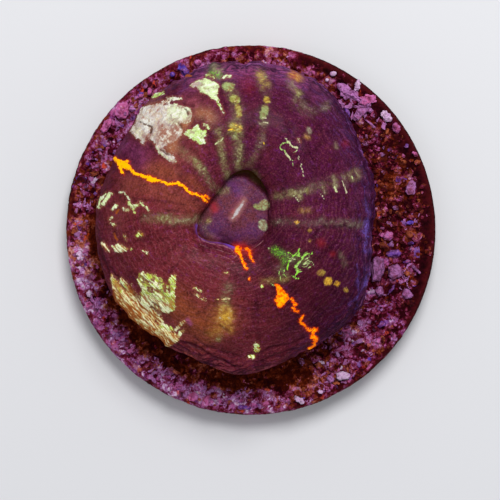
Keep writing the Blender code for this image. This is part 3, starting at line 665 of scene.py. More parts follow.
def move_corners(mesh, places):
    """Puts a mesh's corner points at new places."""
    mesh.vertices.foreach_set("co", places.astype(np.float32).ravel())
    mesh.update()


def note(mesh, **values):
    """Keeps values at each corner point, for the material to read."""
    for name, value in values.items():
        kept = mesh.attributes.new(name, "FLOAT", "POINT")
        kept.data.foreach_set("value", value.astype(np.float32))


def deselect_all():
    """Leaves nothing selected, so that the next operator acts on the new piece only."""
    bpy.ops.object.select_all(action="DESELECT")


def grid_disc(name, cells):
    """A square grid whose border is closed by one face, ready to be shaped by its rings."""
    deselect_all()
    bpy.ops.mesh.primitive_grid_add(x_subdivisions=cells, y_subdivisions=cells, size=2.0)
    piece = bpy.context.object
    piece.name = name
    piece.data.name = name
    bpy.ops.object.mode_set(mode="EDIT")
    bpy.ops.mesh.select_all(action="DESELECT")
    bpy.ops.mesh.select_mode(type="EDGE")
    bpy.ops.mesh.select_non_manifold()
    bpy.ops.mesh.edge_face_add()
    bpy.ops.object.mode_set(mode="OBJECT")
    return piece


def finish_piece(piece, slot, material, *nodes):
    """Gives a piece its material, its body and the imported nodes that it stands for."""
    piece.data.materials.clear()
    piece.data.materials.append(material)
    piece.data.shade_smooth()
    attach(piece, BODY)
    if nodes:
        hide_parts(*nodes)


# ---------------- materials
def arithmetic(operation, swapped=False):
    """A method that adds a Math node over its wire and another value."""
    def method(wire, other):
        """Adds the node."""
        values = (other, wire) if swapped else (wire, other)
        return wire.paint.math(operation, *values)

    return method


class Wire:
    """One output socket. Arithmetic on it adds Math nodes to its paint."""
    __add__, __radd__ = arithmetic("ADD"), arithmetic("ADD", True)
    __sub__, __rsub__ = arithmetic("SUBTRACT"), arithmetic("SUBTRACT", True)
    __mul__, __rmul__ = arithmetic("MULTIPLY"), arithmetic("MULTIPLY", True)

    def __init__(self, paint, socket):
        self.paint = paint
        self.socket = socket

    def ease(self, low, high, top=1.0):
        """Rises smoothly from 0 at low to top at high."""
        return self.paint.add("ShaderNodeMapRange", {"interpolation_type": "SMOOTHSTEP"},
                              {0: self, 1: low, 2: high, 4: top})


class Paint:
    """A material or world as it is mixed. add() makes any node and returns one of its outputs."""

    def __init__(self, owner, shader="Principled BSDF", **constants):
        owner.use_nodes = True
        self.owner = owner
        self.tree = owner.node_tree
        self.shader = self.tree.nodes[shader]
        self.use(**constants)

    def join(self, value, socket):
        """Links an output to a socket, or sets the socket's own value."""
        if isinstance(value, Wire):
            self.tree.links.new(value.socket, socket)
        elif socket.type == "RGBA":
            socket.default_value = (*value[:3], 1.0)
        else:
            socket.default_value = value

    def add(self, kind, settings=None, sockets=None, output=0):
        """A new node with its settings, its sockets' values or links, and one output."""
        node = self.tree.nodes.new(kind)
        for key, value in (settings or {}).items():
            if key == "stops":
                self.set_stops(node.color_ramp, value)
            else:
                setattr(node, key, value)
        for key, value in (sockets or {}).items():
            self.join(value, node.inputs[key])
        return Wire(self, node.outputs[output])

    def set_stops(self, ramp, stops):
        """Fills a colour ramp with (place, colour) stops."""
        while len(ramp.elements) < len(stops):
            ramp.elements.new(1.0)
        for element, (place, colour) in zip(ramp.elements, stops):
            element.position = place
            element.color = (*colour, 1.0)

    def math(self, operation, *values):
        """A Math node over values or wires."""
        return self.add("ShaderNodeMath", {"operation": operation}, dict(enumerate(values)))

    def vector(self, operation, *values, output=0):
        """A Vector Math node over vectors."""
        return self.add("ShaderNodeVectorMath", {"operation": operation},
                        dict(enumerate(values)), output)

    def place(self):
        """The point on the object, in metres."""
        return self.add("ShaderNodeTexCoord", output=3)

    def noted(self, name):
        """A value that the mesh keeps at its corner points."""
        return self.add("ShaderNodeAttribute", {"attribute_name": name}, output=2)

    def noise(self, place, size, detail=3.0, roughness=0.55, shift=None, output=0):
        """Smooth noise from 0 to 1 with lumps of about the given size."""
        if shift:
            place = self.vector("ADD", place, shift)
        return self.add("ShaderNodeTexNoise", None,
                        {0: place, 2: 1.0 / size, 3: detail, 4: roughness}, output)

    def stirred(self, place, size, detail, amount):
        """A place pushed about by up to half an amount."""
        drift = self.vector("SUBTRACT", self.noise(place, size, detail, output=1), (0.5, 0.5, 0.5))
        return self.vector("ADD", place, self.dim(drift, amount))

    def cells(self, place, size):
        """Random cells of the given size, each with its own random colour."""
        return self.add("ShaderNodeTexVoronoi", None, {0: place, 2: 1.0 / size}, 1)

    def mix(self, factor, first, second):
        """A colour between first and second."""
        return self.add("ShaderNodeMix", {"data_type": "RGBA"},
                        {0: factor, 6: first, 7: second}, 2)

    def over(self, colour, *layers):
        """Lays (factor, colour) layers over a colour, one after the other."""
        for factor, layer in layers:
            colour = self.mix(factor, colour, layer)
        return colour

    def ramp(self, factor, *stops):
        """A colour read from (place, colour) stops."""
        return self.add("ShaderNodeValToRGB", {"stops": stops}, {0: factor})

    def ridges(self, noise):
        """Thin crests, up to 1, where a noise passes its middle value."""
        return 1.0 - self.math("ABSOLUTE", noise * 2.0 - 1.0)

    def dim(self, colour, light):
        """A colour or a vector times a value."""
        return self.add("ShaderNodeVectorMath", {"operation": "SCALE"}, {0: colour, 3: light})

    def bump(self, height, distance, strength):
        """A normal pushed about by a height from 0 to 1 times a distance."""
        return self.add("ShaderNodeBump", None, {0: strength, 1: distance, 3: height})

    def part(self, wire, output):
        """Another output of the node that a wire comes from."""
        return Wire(self, wire.socket.node.outputs[output])

    def use(self, **sockets):
        """Feeds the shader's sockets, and returns the material or world."""
        for name, value in sockets.items():
            self.join(value, self.shader.inputs[name.replace("_", " ")])
        return self.owner


# ---------------- sizes and colours
def colour_property(name, description, colour):
    """A colour that a user can change, written from 0 to 255."""
    return bpy.props.FloatVectorProperty(name=name, description=description, size=3, min=0.0,
                                         max=1.0, default=shade(*colour), subtype="COLOR")


def length_property(name, description, default):
    """A length that a user can change, written in millimetres."""
    return bpy.props.FloatProperty(name=name, description=description, default=default * MM,
                                   precision=5, unit="LENGTH", subtype="DISTANCE")


class ScolymiaPolypSizes(bpy.types.PropertyGroup):
    """Heights of the polyp's relief."""
    lumps: length_property("Lumps", "Height of the mantle's soft swellings", 0.3)
    wrinkles: length_property("Wrinkles", "Height of the fine rings round the pit", 0.022)
    rays: length_property("Rays", "Height of the folds that run outwards", 0.1)
    pleats: length_property("Pleats", "Height of the folds along the mantle's edge", 0.55)
    knobs: length_property("Knobs", "Height of the small knobs on the margin", 0.28)
    frill: length_property("Frill", "Depth of the waves in the mantle's edge", 0.5)
    patches: length_property("Patches", "Height that the pale patches stand proud", 0.28)
    veins: length_property("Veins", "Height that the orange veins stand proud", 0.16)
    ribs: length_property("Ribs", "Height of the foot's stony ribs", 0.22)


class ScolymiaTissueColours(bpy.types.PropertyGroup):
    """Colours of the living tissue."""
    # Maroon to plum runs from left to right: partly the tissue's own tint, partly painted blue
    # light from the right.
    maroon: colour_property("Maroon", "Tissue on the warm side", (106, 40, 47))
    plum: colour_property("Plum", "Tissue on the cool side", (76, 25, 52))
    rose: colour_property("Rose", "Lighter fibres", (148, 72, 84))
    # Deep is the painted shade in the creases, the folds and on the shaded sides, and also the
    # dark streaks' own tone.
    deep: colour_property("Deep", "Creases and dark streaks", (46, 8, 24))
    # Violet is a painted blue highlight on the margin's fibres and crinkles.
    violet: colour_property("Violet", "Crests on the mantle's margin", (116, 88, 176))
    olive: colour_property("Olive", "Cool glow under the skin", (138, 142, 84))
    gold: colour_property("Gold", "Warm glow under the skin", (202, 140, 58))
    cream: colour_property("Cream", "Pale patches", (216, 204, 202))
    lime: colour_property("Lime", "Green patches", (178, 220, 78))
    rust: colour_property("Rust", "Streaks between the patches' ridges", (164, 84, 32))
    ember: colour_property("Ember", "Borders of the orange veins", (220, 58, 8))
    flame: colour_property("Flame", "Cores of the orange veins", (255, 176, 4))
    thread: colour_property("Thread", "Green threads", (132, 214, 44))
    pit: colour_property("Pit", "The gap round the oral disc", (88, 56, 24))
    # Lip is the colour of the painted highlight along the pit's lip.
    lip: colour_property("Lip", "Violet line on the pit's lip", (122, 78, 196))


class ScolymiaRubbleSizes(bpy.types.PropertyGroup):
    """Sizes of the disc's crust and its rubble."""
    crust: length_property("Crust", "Height of the disc's crust", 0.5)
    chip: length_property("Chip", "Width of the crust's chips", 1.6)
    spacing: length_property("Spacing", "Distance between crumbs", 1.35)
    crumb: length_property("Crumb", "Usual width of a crumb", 1.15)


class ScolymiaCrustColours(bpy.types.PropertyGroup):
    """Colours of the crusts."""
    crimson: colour_property("Crimson", "Deepest red crust", (46, 6, 16))
    wine: colour_property("Wine", "Dark red crust", (92, 20, 38))
    rose: colour_property("Rose", "Dull rose crust", (128, 48, 76))
    mauve: colour_property("Mauve", "Mauve crust", (148, 74, 114))
    lilac: colour_property("Lilac", "Lilac crust", (188, 122, 186))
    violet: colour_property("Violet", "Violet crust", (104, 62, 156))
    pink: colour_property("Pink", "Pink crust", (206, 100, 156))
    brown: colour_property("Brown", "Rust brown crust", (110, 42, 14))
    warm: colour_property("Warm", "Salmon and orange crusts", (186, 96, 62))
    pale: colour_property("Pale", "Pale shell", (226, 192, 224))
    blue: colour_property("Blue", "Blue violet crust", (86, 64, 180))


class ScolymiaStageSettings(bpy.types.PropertyGroup):
    """The floor and the lights."""
    floor: colour_property("Floor", "Colour of the floor", (226, 226, 228))
    key: bpy.props.FloatProperty(name="Key light", description="Share of the key light",
                                 default=0.62, min=0.0, max=2.0)
    sky: bpy.props.FloatProperty(name="Sky", description="Strength of the even light",
                                 default=0.48, min=0.0, max=2.0)


# ---------------- the coral polyp
POLYP_CELLS = 306
# Distance between the fine rings round the pit.
RING_STEP = 1.25 * MM
# Rows of the section: where the mantle turns under, and where bare stone begins.
EDGE_STATION = 17
STONE_STATION = 20.6
# The side whose section sets how the rings are shared out, and the underside's share of them.
SAMPLE_SIDE = 2.0
UNDERSIDE_SHARE = 0.6
# The seam between patches with flat-lying ridges and those combed along the low left edge.
UPPER_PATCHES = 15.0


def polyp_section(angle):
    """The section at each angle, from the mouth over the mantle to the foot.

    Gives two tables, of reaches from the pit's centre and of heights above the disc, with a
    row for each station and a column for each angle.
    """
    lip = LIP_AT(angle)
    edge = EDGE_AT(angle)
    mantle = edge - lip
    merged = swell(angle, MERGED_SIDE, MERGED_WIDTH)
    gap = (0.1 + 1.9 * swell(angle, GAP_SIDE, 48)
           + 0.4 * swell(angle, LOW_GAP_SIDE, 45)) * MM
    opened = swell(angle, GAP_SIDE, 56)
    floor = MOUTH_HEIGHT - (1.1 - 0.8 * merged + 2.2 * opened) * MM
    lip_top = LIP_HEIGHT - 1.2 * MM * merged
    rim = EDGE_HEIGHT + EDGE_TILT * np.cos(angle - EDGE_HIGH_SIDE)
    zero = 0.0 * angle
    stations = [
        (zero, MOUTH_HEIGHT),
        (0.3 * lip, MOUTH_HEIGHT - 0.1 * MM),
        (0.58 * lip, MOUTH_HEIGHT - 0.5 * MM),
        (lip - gap - 0.8 * MM, MOUTH_HEIGHT - (0.7 - 0.3 * merged) * MM),
        (lip - gap, MOUTH_HEIGHT - (1.0 - 0.7 * merged + 0.8 * opened) * MM),
        (lip - 0.3 * gap + 0.2 * MM, floor),
        (lip + 0.3 * MM, 0.5 * (floor + lip_top)),
        (lip + 0.1 * MM, lip_top),
        (lip + 0.05 * mantle, lip_top + 0.42 * (CROWN_HEIGHT - lip_top)),
        (lip + 0.14 * mantle, lip_top + 0.78 * (CROWN_HEIGHT - lip_top)),
        (lip + 0.28 * mantle, CROWN_HEIGHT - 0.2 * MM),
        (lip + 0.42 * mantle, CROWN_HEIGHT - 0.1 * MM),
        (lip + 0.57 * mantle, CROWN_HEIGHT - 1.3 * MM),
        (lip + 0.71 * mantle, CROWN_HEIGHT - 3.8 * MM),
        (lip + 0.84 * mantle, CROWN_HEIGHT - 7.6 * MM),
        (lip + 0.94 * mantle, 0.55 * (CROWN_HEIGHT - 7.6 * MM) + 0.45 * rim + 1.0 * MM),
        (edge - 0.25 * MM, rim + 1.8 * MM),
        (edge, rim - 0.6 * MM),
        (edge - 0.8 * MM, rim - 3.4 * MM),
        (edge - 2.6 * MM, rim - 4.9 * MM),
        (edge - 5.2 * MM, rim - 4.7 * MM),
        (0.8 * edge, 0.52 * rim),
        (0.71 * edge, 0.28 * rim),
        (FOOT_SHARE * edge, 0.08 * rim),
        (FOOT_SHARE * edge, zero + REST_GAP),
    ]
    reaches = np.array([reach + zero for reach, _ in stations])
    heights = np.array([height + zero for _, height in stations])
    return reaches, heights


def ring_stations(ring):
    """Shares the rings out along the section, closer on top than underneath."""
    reaches, heights = polyp_section(np.array([SAMPLE_SIDE]))
    run = np.hypot(np.diff(reaches[:, 0]), np.diff(heights[:, 0]))
    run[EDGE_STATION:] *= UNDERSIDE_SHARE
    passed = np.concatenate([[0.0], np.cumsum(run)])
    return np.interp(ring, passed / passed[-1], np.arange(len(passed)))


def polyp_places(corners):
    """Turns the flat grid's corner points into the plain polyp, and tells where each one lies."""
    at = SimpleNamespace()
    ring, at.angle = square_to_round(corners)
    at.station = ring_stations(ring)
    reaches, heights = polyp_section(at.angle)
    at.reach = along_stations(reaches, at.station)
    at.height = along_stations(heights, at.station)
    at.base = np.stack([PIT_CENTRE[0] + at.reach * np.cos(at.angle),
                        PIT_CENTRE[1] + at.reach * np.sin(at.angle), DISC_TOP + at.height], axis=1)
    at.plan = seen_from_above(at.base)
    at.wander = swaying(at.base, 2.6 * MM, 21, 24)
    at.drawn = at.plan + at.wander * (0.25 + 1.1 * ease(at.station, 15.5, 17.2))[:, None]
    at.jagged = at.drawn + 0.2 * swaying(at.base, 0.9 * MM, 57, 58)
    at.bent = at.drawn + 0.8 * swaying(at.base, 3.6 * MM, 27, 28)
    at.rightward = (at.plan[:, 0] + 0.55 * at.plan[:, 1]) / 34.0
    at.cool = ease(at.rightward, -0.35, 0.4)
    at.wavy = np.maximum(at.cool, swell(at.angle, -100, 60))
    at.top = fade(at.station, EDGE_STATION, EDGE_STATION + 0.8)
    at.mantle = ease(at.station, 6.4, 8.4) * at.top
    at.near_lip = ease(at.station, 5.9, 6.8)
    at.stone = ease(at.station, STONE_STATION, STONE_STATION + 0.5)
    return at


def polyp_marks(at):
    """How deep each corner point lies in the marks on the tissue, and the marks' own values."""
    vein = marked(at.jagged, ORANGE_VEINS)[0]
    for outline in ORANGE_AREAS:
        vein = np.maximum(vein, inside_outline(at.jagged, outline))
    thread, creamy = marked(at.jagged, THREADS_AND_GLINTS, 1)
    patch, lime = marked(at.drawn, PALE_PATCHES, 1)
    for area_lime, *outline in PALE_AREAS:
        inside = inside_outline(at.drawn, outline)
        lime = np.where(np.minimum(inside, STROKE_DEPTH) > patch, area_lime, lime)
        patch = np.maximum(patch, inside)
    grown = np.where(at.plan[:, 1:] > UPPER_PATCHES, along_and_across(at.plan, 30.0),
                     along_and_across(at.plan, -49.0))
    strand = rough(np.column_stack([grown / (3.0, 0.8), at.height / (2.2 * MM)]), 1.0, 3, 61)
    spot, spot_strength, spot_gold = marked(at.drawn, ROUND_SPOTS, 2)
    ripple, ripple_strength = marked(at.plan + 0.35 * at.wander, RIPPLES, 1)
    glow, gold = blended(at.drawn, SOFT_GLOWS)
    tint, hue = blended(at.drawn, SKIN_TINTS)
    marks = dict(
        vein=vein, thread=thread, creamy=creamy, patch=patch, lime=lime, strand=strand,
        run=grown[:, 0], side=grown[:, 1], spot=spot, spot_strength=spot_strength,
        spot_gold=spot_gold, ripple=ripple, ripple_strength=ripple_strength * at.near_lip,
        glow=glow, gold=gold, tint=tint, hue=hue, slit=marked(at.plan, MOUTH_SLIT)[0],
        lip=np.exp(-(distance_to_line(at.plan, LIP_LINE) / 0.42) ** 2) * at.near_lip,
        crest=blended(at.bent, CREST_HIGHLIGHTS, 0)[0], crease=deepest(at.bent, CREASES) * at.top)
    for name, soft in (("lace", LACES), ("veil", VEILS), ("moss", MOSSES), ("blush", BLUSHES)):
        marks[name] = blended(at.drawn, soft, 0)[0]
    for name, crisp in (("crack", CRACKS), ("rust", RUST_STREAKS)):
        marks[name] = marked(at.drawn, crisp)[0]
    return marks


def polyp_lift(at, marks, sizes):
    """How far the folds, wrinkles and marks stand out from the plain polyp."""
    base, station, mantle = at.base, at.station, at.mantle
    circle = np.stack([np.cos(at.angle), np.sin(at.angle), 0.0 * at.angle], axis=1)
    skirt = ease(station, 12.6, 15.4) * fade(station, 18.0, 19.6)
    swirl = at.reach / RING_STEP + 1.3 * rough(base, 9.0 * MM, 2, 14)
    calm = 0.5 + 0.5 * rough(base, 6.0 * MM, 1, 31)
    rays = np.column_stack([9.0 * circle[:, :2], at.reach / (14.0 * MM)])
    pleats = np.column_stack([5.0 * circle[:, :2], 1.5 * station])
    knobs = np.column_stack([16.0 * circle[:, :2], 2.6 * station])
    ribs = np.cos(96.0 * at.angle) + 0.8 * rough(base, 1.1 * MM, 2, 19)
    lift = sizes.lumps * (rough(base, 7.0 * MM, 3, 11) + 0.45 * rough(base, 2.2 * MM, 2, 12))
    lift = lift * (0.5 + 0.5 * mantle)
    lift += sizes.wrinkles * np.sin(math.tau * swirl) * calm * mantle
    lift += sizes.rays * rough(rays, 1.0, 2, 17) * mantle
    lift += sizes.pleats * rough(pleats, 1.0, 3, 33) * skirt * (0.25 + 0.75 * at.wavy)
    lift += sizes.knobs * rough(knobs, 1.0, 2, 36) * skirt * (0.3 + 0.7 * at.cool)
    lift += sizes.frill * skirt * (rough(circle, 0.2, 3, 15)
                                   + (0.6 + 0.6 * at.cool) * rough(circle, 0.05, 2, 18))
    lift += sizes.veins * ease(marks["vein"], -0.3, 0.2)
    lift += sizes.patches * ease(marks["patch"], -0.15, 0.3) * (
        0.7 + 1.1 * marks["strand"] + 0.5 * rough(base, 0.9 * MM, 2, 16))
    lift -= 0.3 * MM * ease(marks["crack"], -0.15, 0.15)
    lift -= 0.16 * MM * ease(marks["rust"], -0.2, 0.1)
    lift -= marks["crease"] * MM
    lift += MM * 0.25 * np.exp(-((marks["slit"] + 0.9) / 0.6) ** 2) * fade(station, 3.0, 4.0)
    lift += 0.25 * MM * marks["lip"]
    return lift + sizes.ribs * at.stone * ribs * fade(station, 23.2, 23.6)


def tissue_values(at, marks):
    """What the tissue's finish reads at each corner point."""
    base, station, angle = at.base, at.station, at.angle
    merged = swell(angle, MERGED_SIDE, MERGED_WIDTH)
    opened = swell(angle, GAP_SIDE, 62)
    below = 6.0 * ease(station + 0.8 * rough(base, 2.4 * MM, 3, 29), EDGE_STATION - 0.3,
                       EDGE_STATION + 1.6)
    values = dict(marks)
    for name in ("vein", "thread", "patch", "rust", "spot"):
        values[name] = marks[name] - below
    for name in ("veil", "glow", "moss", "blush", "tint"):
        values[name] = marks[name] * at.top
    values.update(
        slit=marks["slit"] + OUTSIDE * ease(station, 3.0, 3.6),
        crest=marks["crest"] * fade(station, 16.4, 17.2),
        # Painted shade in the creases.
        crease=np.minimum(marks["crease"] * 1.6, 1.0),
        # Folds: where the skirt's crinkles are bumped and painted dark as shade.
        folds=ease(station, 13.2, 15.6) * at.wavy * (1.0 - 0.65 * ease(station, 16.2, 17.4)),
        verge=ease(station, 15.7, 16.8) - 0.6 * ease(station, 16.9, 17.6),
        earthy=ease(-at.plan[:, 1], -12.0, 0.0),
        # Painted highlight: a thin light line along the skirt's edge.
        hem=(np.exp(-((station - 15.95) / 0.17) ** 2) * at.wavy
             * ease(rough(base, 4.0 * MM, 2, 63), -0.25, 0.35)),
        # Warm on the left to cool on the right: partly the tissue's own tint, partly painted blue
        # light from the right.
        tone=np.clip(0.5 + 0.5 * at.rightward, 0.0, 1.0),
        # Painted shade: darker on the mantle's lower right, on the left of its outer slope and
        # round the lower side of the oral disc and the pit.
        dark=(0.5 * swell(angle, -48, 50) * at.mantle
              + 0.4 * swell(angle, 180, 75) * ease(station, 11.5, 15.5)
              + 0.5 * swell(angle, -105, 105) * ease(station, 1.4, 3.2) * fade(station, 6.0, 7.0)),
        margin=(ease(station, 12.8, 16.2) * (0.15 + 0.85 * at.cool) * at.top
                * (1.0 - 0.5 * ease(station, 16.4, 17.4))),
        pit=(ease(station, 4.05, 4.7) * fade(station, 6.0, 6.7) * fade(merged, 0.1, 0.7)
             * (0.3 + 0.7 * ease(opened, 0.0, 0.4))),
        mouth=fade(station, 3.2, 4.2), stone=at.stone)
    return values


def shape_polyp(mesh, sizes):
    """Turns the flat grid into the polyp, with its folds, wrinkles and raised marks."""
    at = polyp_places(corners_of(mesh))
    marks = polyp_marks(at)
    move_corners(mesh, at.base)
    lift = polyp_lift(at, marks, sizes)
    move_corners(mesh, at.base + corners_of(mesh, "normal") * lift[:, None])
    note(mesh, **tissue_values(at, marks))


def tissue_noises(paint):
    """The noises that the tissue's layers share."""
    place = paint.place()
    arm = paint.vector("SUBTRACT", paint.stirred(place, 7.0 * MM, 2.0, 5.0 * MM),
                       (*PIT_CENTRE, 0.0))
    arm = paint.vector("MULTIPLY", arm, (1.0, 1.0, 0.0))
    reach = paint.vector("LENGTH", arm, output=1)
    ray = paint.vector("NORMALIZE", arm)
    outward = paint.add("ShaderNodeCombineXYZ", None, {2: reach})

    def round_the_pit(turns, rings, detail, roughness):
        """Noise that is drawn out round the pit or away from it."""
        spot = paint.vector("ADD", paint.dim(ray, turns), paint.dim(outward, rings))
        return paint.noise(spot, 1.0, detail, roughness)

    grain = paint.noise(place, 0.42 * MM, 3.0, 0.75)
    return SimpleNamespace(
        place=place, reach=reach, grain=grain, broken=(grain - 0.5) * 0.5,
        fibre=round_the_pit(6.0, 2000.0, 3.0, 0.65),
        beadwork=round_the_pit(15.0, 1100.0, 4.0, 0.75),
        streak=round_the_pit(14.0, 70.0, 2.0, 0.6),
        crinkle=paint.ridges(round_the_pit(6.0, 760.0, 3.0, 0.6)),
        cloud=paint.noise(place, 6.0 * MM, 3.0),
        broad=paint.noise(place, 3.4 * MM, 4.0, 0.6),
        speck=paint.noise(place, 0.34 * MM, 1.0, shift=(0.0, 0.0, 5.3)),
        blotch=paint.noise(place, 1.1 * MM, 4.0, 0.7, shift=(3.1, 0.0, 0.0)),
        ragged=paint.noise(place, 0.7 * MM, 5.0, 0.75) - 0.5,
        net=paint.ridges(paint.noise(place, 1.1 * MM, 2.5, 0.5)),
        lace=paint.ridges(paint.noise(place, 0.75 * MM, 1.5, shift=(0.0, 4.1, 0.0))),
        hair=paint.ridges(paint.noise(place, 1.3 * MM, 3.0, shift=(0.0, 2.3, 0.0))))


def bare_skin(paint, noise, colours):
    """Fibrous skin, from warm to cool, with the oral disc and tints, painted shade in the folds
    and on the shaded sides, and painted highlights on the margin, its crests and the skirt's edge.
    """
    grain, blotch, fibre, crinkle = noise.grain, noise.blotch, noise.fibre, noise.crinkle
    mouth, margin = paint.noted("mouth"), paint.noted("margin")
    oral = paint.over(
        paint.mix(noise.broad.ease(0.36, 0.62), shade(122, 62, 72), shade(98, 50, 80)),
        (blotch.ease(0.48, 0.64, 0.6), shade(66, 46, 78)),
        (blotch.ease(0.4, 0.28, 0.45), shade(146, 92, 92)),
        (noise.net.ease(0.95, 1.0, 0.22), shade(160, 110, 122)))
    tints = paint.ramp(paint.noted("hue"), (0.0, shade(150, 78, 44)), (0.5, shade(152, 74, 120)),
                       (1.0, shade(68, 34, 106)))
    rings = paint.math("SINE", noise.reach * (math.tau / RING_STEP) + (noise.cloud - 0.5) * 16.0)
    rings = (rings + (grain - 0.5) * 2.0).ease(0.45, 1.15, 0.12)
    crest = (crinkle + noise.broken * 0.5).ease(0.86, 1.0) * 0.9 + 0.18
    # The skirt edge's painted highlight is orange on the warm side and violet on the cool side.
    hem = paint.mix(paint.noted("tone"), shade(196, 92, 70), shade(132, 84, 150))
    # The cool side's plum is partly the tissue's own tint and partly painted blue light from the
    # right.
    warmth = (paint.noted("tone") + (noise.cloud - 0.5) * 0.8).ease(0.1, 0.9)
    skin = paint.over(
        paint.mix(warmth, colours.maroon, colours.plum),
        (blotch.ease(0.55, 0.72, 0.45), shade(98, 44, 112)),
        (blotch.ease(0.45, 0.28, 0.35), shade(138, 60, 40)),
        (mouth, oral),
        (paint.noted("tint") * (0.45 + fibre), tints),
        (margin * 0.55, shade(62, 22, 60)),
        ((fibre + noise.broken).ease(0.54, 0.8, 0.24), colours.rose),
        # Painted blue highlights on the margin's fibres and crinkles.
        (margin * (fibre + noise.broken).ease(0.52, 0.72, 0.3), colours.violet),
        (margin * (crinkle + noise.broken * 0.35).ease(0.92, 1.0, 0.5), colours.violet),
        (noise.hair.ease(0.96, 0.995, 0.1), colours.rose),
        (noise.speck.ease(0.6, 0.72, 0.2), shade(170, 104, 108)),
        (rings * (paint.noted("earthy") + 0.4) * (1.0 - mouth), shade(164, 98, 104)),
        (noise.streak.ease(0.48, 0.3, 0.35), colours.deep),
        # Painted shade on the shaded sides.
        (paint.noted("dark"), colours.deep),
        # Painted shade along the skirt's folds.
        (paint.noted("folds") * crinkle.ease(0.86, 0.96, 0.85), colours.deep),
        # Painted blue highlight on the margin's crests.
        (paint.noted("crest") * crest, shade(104, 76, 156)),
        (paint.noted("hem") * blotch.ease(0.35, 0.6, 0.7), hem))
    light = (fibre - 0.5) * 0.6 + (grain - 0.5) * 2.1 + (blotch - 0.5) * 1.5
    return paint.dim(skin, light + (noise.broad - 0.5) * 1.2 + 0.97)


def lit_skin(paint, noise, colours, skin):
    """Lays glows, mosses, blushes, spots, veils, creases and ripples over the skin, with painted
    glints on the glows and spots, painted shade in the creases and a painted highlight on the lip.
    """
    grain, blotch, beadwork = noise.grain, noise.blotch, noise.beadwork
    glow, moss = paint.noted("glow"), paint.noted("moss")
    glow_colour = paint.ramp(
        paint.noted("gold"), (0.0, shade(142, 128, 108)), (0.2, shade(152, 142, 94)),
        (0.38, colours.olive), (1.0, colours.gold))
    bead = beadwork.ease(0.36, 0.68)
    spots = paint.ramp(paint.noted("spot_gold"), (0.0, shade(164, 172, 134)),
                       (0.2, shade(150, 172, 84)), (1.0, shade(226, 168, 50)))
    spots = paint.over(spots, (beadwork.ease(0.56, 0.42, 0.7), shade(128, 76, 48)),
                       # Painted glints on the spots.
                       ((beadwork + noise.broken).ease(0.58, 0.74, 0.75),
                        shade(216, 222, 176)))
    spots = paint.dim(spots, 0.25 + 0.8 * blotch + 0.8 * grain)
    spotted = (paint.noted("spot") + noise.ragged + (blotch - 0.5) * 1.3).ease(-0.3, 0.35)
    veil = paint.noted("veil") * (0.35 + 0.8 * blotch)
    ripple = paint.noted("ripple").ease(-0.16, 0.0) * paint.noted("ripple_strength")
    return paint.over(
        skin,
        (glow * (0.25 + 1.35 * bead) * (0.55 + 1.1 * grain), glow_colour),
        # Painted glints on the glows.
        (glow * (beadwork + (grain - 0.5) * 0.6).ease(0.56, 0.72, 0.75),
         shade(196, 196, 178)),
        (moss * blotch.ease(0.3, 0.65), shade(82, 130, 52)),
        (moss.ease(0.05, 0.5) * noise.lace.ease(0.955, 0.985, 0.9), colours.thread),
        (paint.noted("blush") * (0.1 + grain), shade(196, 48, 42)),
        (spotted * paint.noted("spot_strength"), spots),
        (veil, shade(176, 114, 80)),
        (veil * noise.net.ease(0.95, 0.99, 0.5), shade(222, 196, 178)),
        # Painted shade in the creases.
        (paint.noted("crease") * 0.8, colours.deep),
        # Painted highlight along the lip's edge, in violet.
        (paint.noted("lip"), colours.lip),
        (ripple * (blotch + noise.broken).ease(0.32, 0.6, 0.62), shade(206, 144, 150)))


def patch_strands(paint, noise):
    """The ridges of the patches, combed on the earthy side, and the marbling of the others."""
    run = paint.noted("run") * 0.42 + noise.ragged * 0.5
    side = paint.noted("side") * 2.5 + noise.ragged * 1.2
    upward = paint.add("ShaderNodeSeparateXYZ", None, {0: noise.place}, 2)
    weave = paint.add("ShaderNodeCombineXYZ", None,
                      {0: run, 1: side, 2: upward * (1.0 / (1.5 * MM))})
    combed = (paint.noise(weave, 1.0, 3.0, 0.6) - 0.5) * 2.6 + paint.noted("strand") * 0.5
    folded = paint.stirred(noise.place, 1.5 * MM, 2.0, 4.0 * MM)
    marble = (paint.noise(folded, 2.4 * MM, 4.0, 0.6) - 0.5) * 3.2
    earthy = paint.noted("earthy")
    strand = marble * (1.0 - earthy * 0.8) + combed * (earthy * 0.65 + 0.35)
    return strand - paint.noted("verge") * earthy * 0.52, marble


